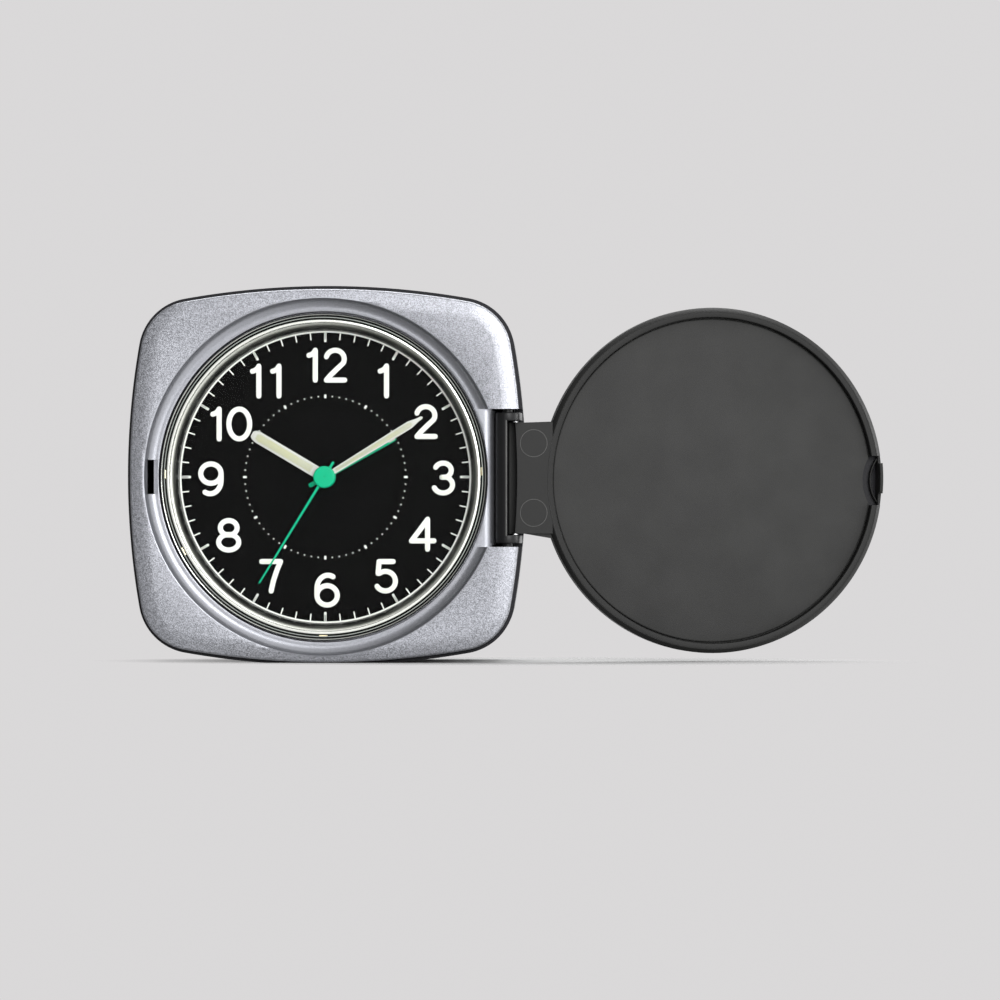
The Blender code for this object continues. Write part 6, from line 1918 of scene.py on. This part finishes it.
@dataclass
class Knob:
    """Fluted setting knob on the back, with a dished face."""

    name: str
    node: str
    body: str
    x: float
    radius: float = 6.3 * MM
    flute: float = 0.3 * MM
    flutes: int = 18
    front: float = 12.7 * MM
    back: float = 15.2 * MM
    stem: float = 1.9 * MM
    stem_bore: float = 0.85 * MM
    stem_front: float = 6.3 * MM
    dish: float = 4.3 * MM
    dish_depth: float = 0.5 * MM
    edge_round: float = 0.25 * MM
    grip_long: float = 3.3 * MM
    grip_half: float = 0.55 * MM
    grip_rise: float = 0.8 * MM
    bore_back: float = 11.1 * MM

    def build(self) -> None:
        """Build and dress the knob."""
        axis = (self.x, DATUM.dial_z)
        steps = self.flutes * 8
        outline = [polar(axis, self.radius - self.flute / 2 * (1 - math.cos(math.tau * i / 8)),
                         math.tau * i / steps) for i in range(steps)]
        body = Bench.prism(outline, self.front, self.back)
        Bench.bevel(body, self.edge_round, 3, lambda mid, _: mid.y > self.back - DATUM.near)
        Bench.pick(body)
        bpy.ops.object.mode_set(mode="EDIT")
        Bench.select(body, "FACE", lambda mid, way: way.y > 0.9 and mid.y > self.back - DATUM.near)
        bpy.ops.mesh.inset(thickness=self.radius - self.flute - self.edge_round - self.dish)
        bpy.ops.mesh.inset(thickness=0.3 * MM, depth=-self.dish_depth)
        bpy.ops.object.mode_set(mode="OBJECT")
        grip = Bench.block((self.x - self.grip_long, self.back - self.grip_rise,
                            DATUM.dial_z - self.grip_half),
                           (self.x + self.grip_long, self.back, DATUM.dial_z + self.grip_half))
        Bench.bevel(grip, 0.3 * MM, 3,
                    lambda mid, way: abs(way.y) > 0.9 or mid.y > self.back - DATUM.near)
        stem = rod(axis, self.stem, self.stem_front, self.front + 1.0 * MM)
        Bench.combine(body, [grip, stem], Fit.JOIN)
        bore = rod(axis, self.stem_bore, self.stem_front - DATUM.clear, self.bore_back, steps=20)
        Bench.combine(body, [bore], Fit.CUT)
        Bench.done(body, self.name, Palette.HINGE_BLACK, self.body, [self.node])


@dataclass
class BackPieces:
    """Battery door, snooze button, alarm switch and case screws."""

    door_low: tuple[float, float, float] = (-26.7 * MM, 12.6 * MM, 5.5 * MM)
    door_high: tuple[float, float, float] = (26.7 * MM, 14.0 * MM, 20.0 * MM)
    snooze_half: float = 12.0 * MM
    snooze_front: float = 1.0 * MM
    snooze_back: float = 8.0 * MM
    crown_radius: float = 159.65 * MM
    case_top: float = 73.45 * MM
    top_radius: float = 159.4 * MM
    snooze_stem: tuple[float, float] = (0.0, 4.5 * MM)
    stem_radius: float = 1.3 * MM
    snooze_lip: float = 0.8 * MM
    rib_pitch: float = 1.6 * MM
    rib_half: float = 0.25 * MM
    rib_depth: float = 0.22 * MM
    rib_margin: float = 1.4 * MM
    switch_x: float = 17.0 * MM
    switch_z: float = 52.2 * MM
    switch_half: tuple[float, float] = (2.5 * MM, 1.8 * MM)
    switch_front: float = 11.6 * MM
    switch_back: float = 15.0 * MM
    foot_half: tuple[float, float] = (3.7 * MM, 3.0 * MM)
    foot_front: float = 11.2 * MM
    foot_back: float = 12.1 * MM
    slit_half: float = 0.22 * MM
    slit_pitch: float = 1.0 * MM
    slit_floor: float = 14.7 * MM
    groove_half: float = 4.5 * MM
    groove_low: float = 12.2 * MM
    groove_high: float = 12.65 * MM
    groove_pitch: float = 1.1 * MM
    groove_depth: float = 0.3 * MM
    dimple_radius: float = 0.9 * MM
    dimple_depth: float = 0.15 * MM
    dimple_z: float = 9.2 * MM
    head_front: float = 5.3 * MM
    head_back: float = 6.5 * MM
    head_radius: float = 1.7 * MM
    head_slope: float = 0.5 * MM
    crown: tuple[float, float] = (1.2 * MM, 0.08 * MM)
    cross_arm: float = 0.9 * MM
    cross_half: float = 0.2 * MM
    cross_depth: float = 0.55 * MM
    point_y: float = -1.7 * MM
    point_radius: float = 0.2 * MM
    point_length: float = 0.8 * MM
    threads: int = 8
    thread_start: float = 1.0 * MM
    thread_pitch: float = 0.5 * MM
    thread_flank: float = 0.2 * MM
    thread_crest: float = 0.75 * MM
    thread_root: float = 0.58 * MM

    def door(self) -> None:
        """Build and dress the battery door with its grip ribs."""
        door = Bench.block(self.door_low, self.door_high)
        Bench.bevel(door, 0.8 * MM, 4, lambda _, way: abs(way.y) > 0.9)
        back = self.door_high[1]
        Bench.bevel(door, 0.2 * MM, 2, lambda mid, _: mid.y > back - DATUM.near)
        grooves = [Bench.block((-self.groove_half, back - self.groove_depth,
                                self.groove_low + row * self.groove_pitch),
                               (self.groove_half, back + DATUM.clear,
                                self.groove_high + row * self.groove_pitch))
                   for row in range(5)]
        dimple = rod((0.0, self.dimple_z), self.dimple_radius, back - self.dimple_depth,
                     back + DATUM.clear)
        Bench.combine(door, [*grooves, dimple], Fit.CUT)
        Bench.done(door, "battery_cover", Palette.CASE_BLACK, NODE_BODY["battery_door"],
                   ["battery_door"])

    def snooze(self) -> None:
        """Build and dress the snooze button with its grip ribs."""
        half, low, high = self.snooze_half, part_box("snooze_button")[0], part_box("snooze_button")[1]
        top = self.case_top - self.top_radius
        spread = math.degrees(math.asin(half / self.crown_radius))
        flange_low = self.flange_bottom()
        crown = arc((0.0, top), self.crown_radius, 90.0 - spread, 90.0 + spread, 16)
        outline = crown + [(-half, flange_low), (half, flange_low)]
        button = Bench.prism(outline, self.snooze_front, self.snooze_back)
        Bench.bevel(button, 0.35 * MM, 3, lambda mid, _: mid.z > high.z - 1.2 * MM)
        wide = self.snooze_lip
        flange = Bench.block((-half - wide, self.snooze_front - wide, flange_low),
                             (half + wide, self.snooze_back + wide, flange_low + 1.0 * MM))
        stem = rod(self.snooze_stem, self.stem_radius, low.z, flange_low + 0.5 * MM, Way.Z)
        Bench.combine(button, [flange, stem], Fit.JOIN)
        front, back = self.snooze_front + self.rib_margin, self.snooze_back - self.rib_margin
        ribs = [Bench.block((x * self.rib_pitch - self.rib_half, front, high.z - self.rib_depth),
                            (x * self.rib_pitch + self.rib_half, back, high.z + DATUM.clear))
                for x in range(-5, 6)]
        Bench.combine(button, ribs, Fit.CUT)
        Bench.done(button, "snooze_bar", Palette.CASE_BLACK, NODE_BODY["snooze_button"],
                   ["snooze_button"])
        Bench.flatten(button, lambda _, normal: normal.z > 0.9)

    def flange_bottom(self) -> float:
        """Where the button's hidden flange starts, under the top of the case."""
        reach = self.top_radius - 1.6 * MM
        return (self.case_top - self.top_radius
                + math.sqrt(reach ** 2 - (self.snooze_half + self.snooze_lip) ** 2) - 1.3 * MM)

    def switch(self) -> None:
        """Build and dress the alarm switch with its ribbed cap."""
        x, z = self.switch_x, self.switch_z
        half, rise = self.switch_half
        foot, foot_rise = self.foot_half
        cap = Bench.block((x - half, self.switch_front, z - rise),
                          (x + half, self.switch_back, z + rise))
        Bench.bevel(cap, 0.35 * MM, 3,
                    lambda mid, way: mid.y > self.switch_back - DATUM.near or abs(way.y) > 0.9)
        flange = Bench.block((x - foot, self.foot_front, z - foot_rise),
                             (x + foot, self.foot_back, z + foot_rise))
        Bench.combine(cap, [flange], Fit.JOIN)
        slits = [Bench.block((x + row * self.slit_pitch - self.slit_half, self.slit_floor,
                              z - foot_rise),
                             (x + row * self.slit_pitch + self.slit_half,
                              self.switch_back + DATUM.clear, z + foot_rise))
                 for row in (-1, 0, 1)]
        Bench.combine(cap, slits, Fit.CUT)
        Bench.done(cap, "alarm_slider", Palette.HINGE_BLACK, NODE_BODY["alarm_switch"],
                   ["alarm_switch"])

    def screws(self) -> None:
        """Build one case screw with a cross recess and copy it to its four places."""
        first = Bezel.screw_places()[0]
        point, crest, flank = self.point_y, self.thread_crest, self.thread_flank
        profile = [(0.0, point), (self.point_radius, point), (crest, point + self.point_length)]
        for turn in range(self.threads):
            along = point + self.thread_start + turn * self.thread_pitch
            profile += [(crest, along), (self.thread_root, along + flank),
                        (crest, along + 2 * flank)]
        profile += [(crest, self.head_front), (self.head_radius, self.head_front),
                    (self.head_radius, self.head_back - self.head_slope),
                    (self.crown[0], self.head_back - self.crown[1]), (0.0, self.head_back)]
        screw = Bench.spun(profile, first, steps=32)
        arm, half = self.cross_arm, self.cross_half
        cross = [Bench.block((first[0] - a, self.head_back - self.cross_depth, first[1] - b),
                             (first[0] + a, self.head_back + DATUM.clear, first[1] + b))
                 for a, b in ((arm, half), (half, arm))]
        Bench.combine(screw, cross, Fit.CUT)
        for number, at in enumerate(Bezel.screw_places(), start=1):
            item = Bench.copy(screw)
            Bench.shift(item, Matrix.Translation((at[0] - first[0], 0.0, at[1] - first[1])))
            Bench.done(item, f"screw_{number}", Palette.STEEL, "case", [f"case_screw_{number}"])
        bpy.data.objects.remove(screw)

    def build(self) -> None:
        """Build all the pieces of the back and top."""
        self.door()
        self.snooze()
        self.switch()
        self.screws()


NODE_BODY = {node: body for body, nodes in frame["record"]["behaviour"]["bodies"].items()
             for node in nodes}


class Inside:
    """The CAD pieces that stay as they are and only get a finish."""

    FINISHES = {
        "movement_front_plate": Palette.MOVEMENT, "movement_middle_plate": Palette.MOVEMENT,
        "movement_rear_plate": Palette.MOVEMENT, "alarm_wheel": Palette.MOVEMENT,
        "hour_wheel": Palette.MOVEMENT, "centre_wheel": Palette.MOVEMENT,
        "minute_wheel": Palette.MOVEMENT, "alarm_setting_pinion": Palette.MOVEMENT,
        "second_wheel": Palette.MOVEMENT, "third_wheel": Palette.MOVEMENT,
        "intermediate_wheel": Palette.MOVEMENT, "rotor": Palette.MAGNET,
        "stator": Palette.IRON, "coil_core": Palette.IRON, "coil_bobbin": Palette.MOVEMENT,
        "coil_winding": Palette.COPPER, "circuit_board": Palette.BOARD,
        "driver_chip": Palette.HINGE_BLACK, "quartz_can": Palette.STEEL,
        "snooze_switch": Palette.HINGE_BLACK, "buzzer": Palette.HINGE_BLACK,
        "battery_cell": Palette.CELL, "battery_plus_contact": Palette.STEEL,
        "battery_minus_spring": Palette.STEEL, "snooze_spring": Palette.STEEL,
    }

    def dress(self) -> None:
        """Give each kept node its finish."""
        for node, finish in self.FINISHES.items():
            for slot in frame["nodes"][node].material_slots:
                slot.material = finish.material()
            BENCH_LOG.info("%s: kept with %s", node, finish.name)


@dataclass
class Studio:
    """Floor, backdrop, lamps and the camera at the photograph's place."""

    camera_distance: float = 1100.0 * MM
    camera_turn: float = 3.0
    target: tuple[float, float, float] = (34.41 * MM, -10.0 * MM, 31.7 * MM)
    view_width: float = 194.9 * MM
    background: float = 0.70
    paper: float = 0.34
    lean: tuple[float, float, float] = (1.35, 0.0, 0.25)
    dim: float = 0.38
    bright: float = 1.4

    def camera(self) -> None:
        """Put the camera at the photograph's place."""
        angle = math.radians(self.camera_turn)
        back = Vector((math.sin(angle), -math.cos(angle), 0.0))
        place = Vector(self.target) + back * self.camera_distance
        bpy.ops.object.camera_add(location=place)
        camera = bpy.context.object
        camera.rotation_euler = (-back).to_track_quat("-Z", "Y").to_euler()
        camera.data.sensor_width = 36.0
        camera.data.lens = 36.0 * self.camera_distance / self.view_width
        camera.data.clip_end = 20.0
        bpy.context.scene.camera = camera

    def lamp(self, name: str, place: tuple[float, float, float], size: tuple[float, float],
             power: float, aim: tuple[float, float, float] = (0.02, 0.0, 0.035)) -> None:
        """Add a soft rectangular lamp.

        Args:
            name: its name.
            place: where it stands, in metres.
            size: its width and height, in metres.
            power: its power in watts.
            aim: the point it faces.
        """
        bpy.ops.object.light_add(type="AREA", location=place)
        lamp = bpy.context.object
        lamp.name = name
        lamp.data.shape = "RECTANGLE"
        lamp.data.size, lamp.data.size_y = size
        lamp.data.energy = power
        lamp.rotation_euler = (Vector(aim) - Vector(place)).to_track_quat("-Z", "Y").to_euler()

    def floor(self) -> None:
        """Lay a pale floor that fades into the backdrop and keeps the object's shadow."""
        Bench.clear()
        bpy.ops.mesh.primitive_plane_add(size=3.0, location=(0.03, 0.0, 0.0))
        floor = bpy.context.object
        bpy.ops.object.transform_apply()
        floor.name = "floor"
        material = bpy.data.materials.new("pale_floor")
        graph = Graph(material)
        reach = graph.reach((0.036, 0.0, 0.0), (1.0 / 0.09, 1.0 / 0.034, 0.0))
        fade = ((reach - 0.42) / 0.5).clamp()
        paper = graph.node("ShaderNodeBsdfDiffuse", None, {"Color": rgba((self.paper,) * 3)})
        clear = graph.node("ShaderNodeBsdfTransparent")
        graph.surface(graph.node("ShaderNodeMixShader", None, {0: fade, 1: paper, 2: clear}))
        floor.data.materials.append(material)

    def world(self) -> None:
        """Light from all round, more from above and the right, and show the backdrop's grey."""
        world = bpy.data.worlds.new("studio")
        bpy.context.scene.world = world
        graph = Graph(world)
        seen = graph.node("ShaderNodeLightPath", output="Is Camera Ray").math(
            "MAXIMUM", graph.node("ShaderNodeLightPath", output="Is Transmission Ray"))
        lean = graph.node("ShaderNodeVectorMath", {"operation": "DOT_PRODUCT"},
                          {0: graph.node("ShaderNodeTexCoord", output="Generated"),
                           1: self.lean}, "Value")
        light = graph.node("ShaderNodeBackground", None,
                           {"Color": rgba((1.0, 1.0, 1.0)),
                            "Strength": (lean + 0.5).clamp() * self.bright + self.dim})
        grey = graph.node("ShaderNodeBackground", None, {
            "Color": rgba((self.background, self.background * 0.985, self.background * 0.99))})
        graph.surface(graph.node("ShaderNodeMixShader", None, {0: seen, 1: light, 2: grey}),
                      "ShaderNodeOutputWorld")

    def build(self) -> None:
        """Set the view and the light."""
        bpy.context.scene.view_settings.view_transform = "Standard"
        self.floor()
        self.world()
        self.lamp("lamp_key", (0.34, -1.05, 0.3), (0.6, 0.5), 10.0)
        self.lamp("lamp_above", (0.06, 0.32, 1.1), (0.9, 0.4), 12.0)
        self.lamp("lamp_edge", (0.9, 0.16, 0.16), (0.25, 0.5), 6.0)
        self.camera()


def main() -> None:
    """Build the clock piece by piece, then the studio round it."""
    logging.basicConfig(level=logging.INFO, format="%(message)s")
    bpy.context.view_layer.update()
    Inside().dress()
    BEZEL.build()
    RearCase().build()
    Crystal().build()
    Dial().build()
    build_hands()
    Lid().build()
    Hinge().build()
    Knob("time_knob", "time_set_knob", NODE_BODY["time_set_knob"], -10.0 * MM).build()
    Knob("alarm_knob", "alarm_set_knob", NODE_BODY["alarm_set_knob"], 10.0 * MM).build()
    BackPieces().build()
    Studio().build()


if __name__ == "__main__":
    main()
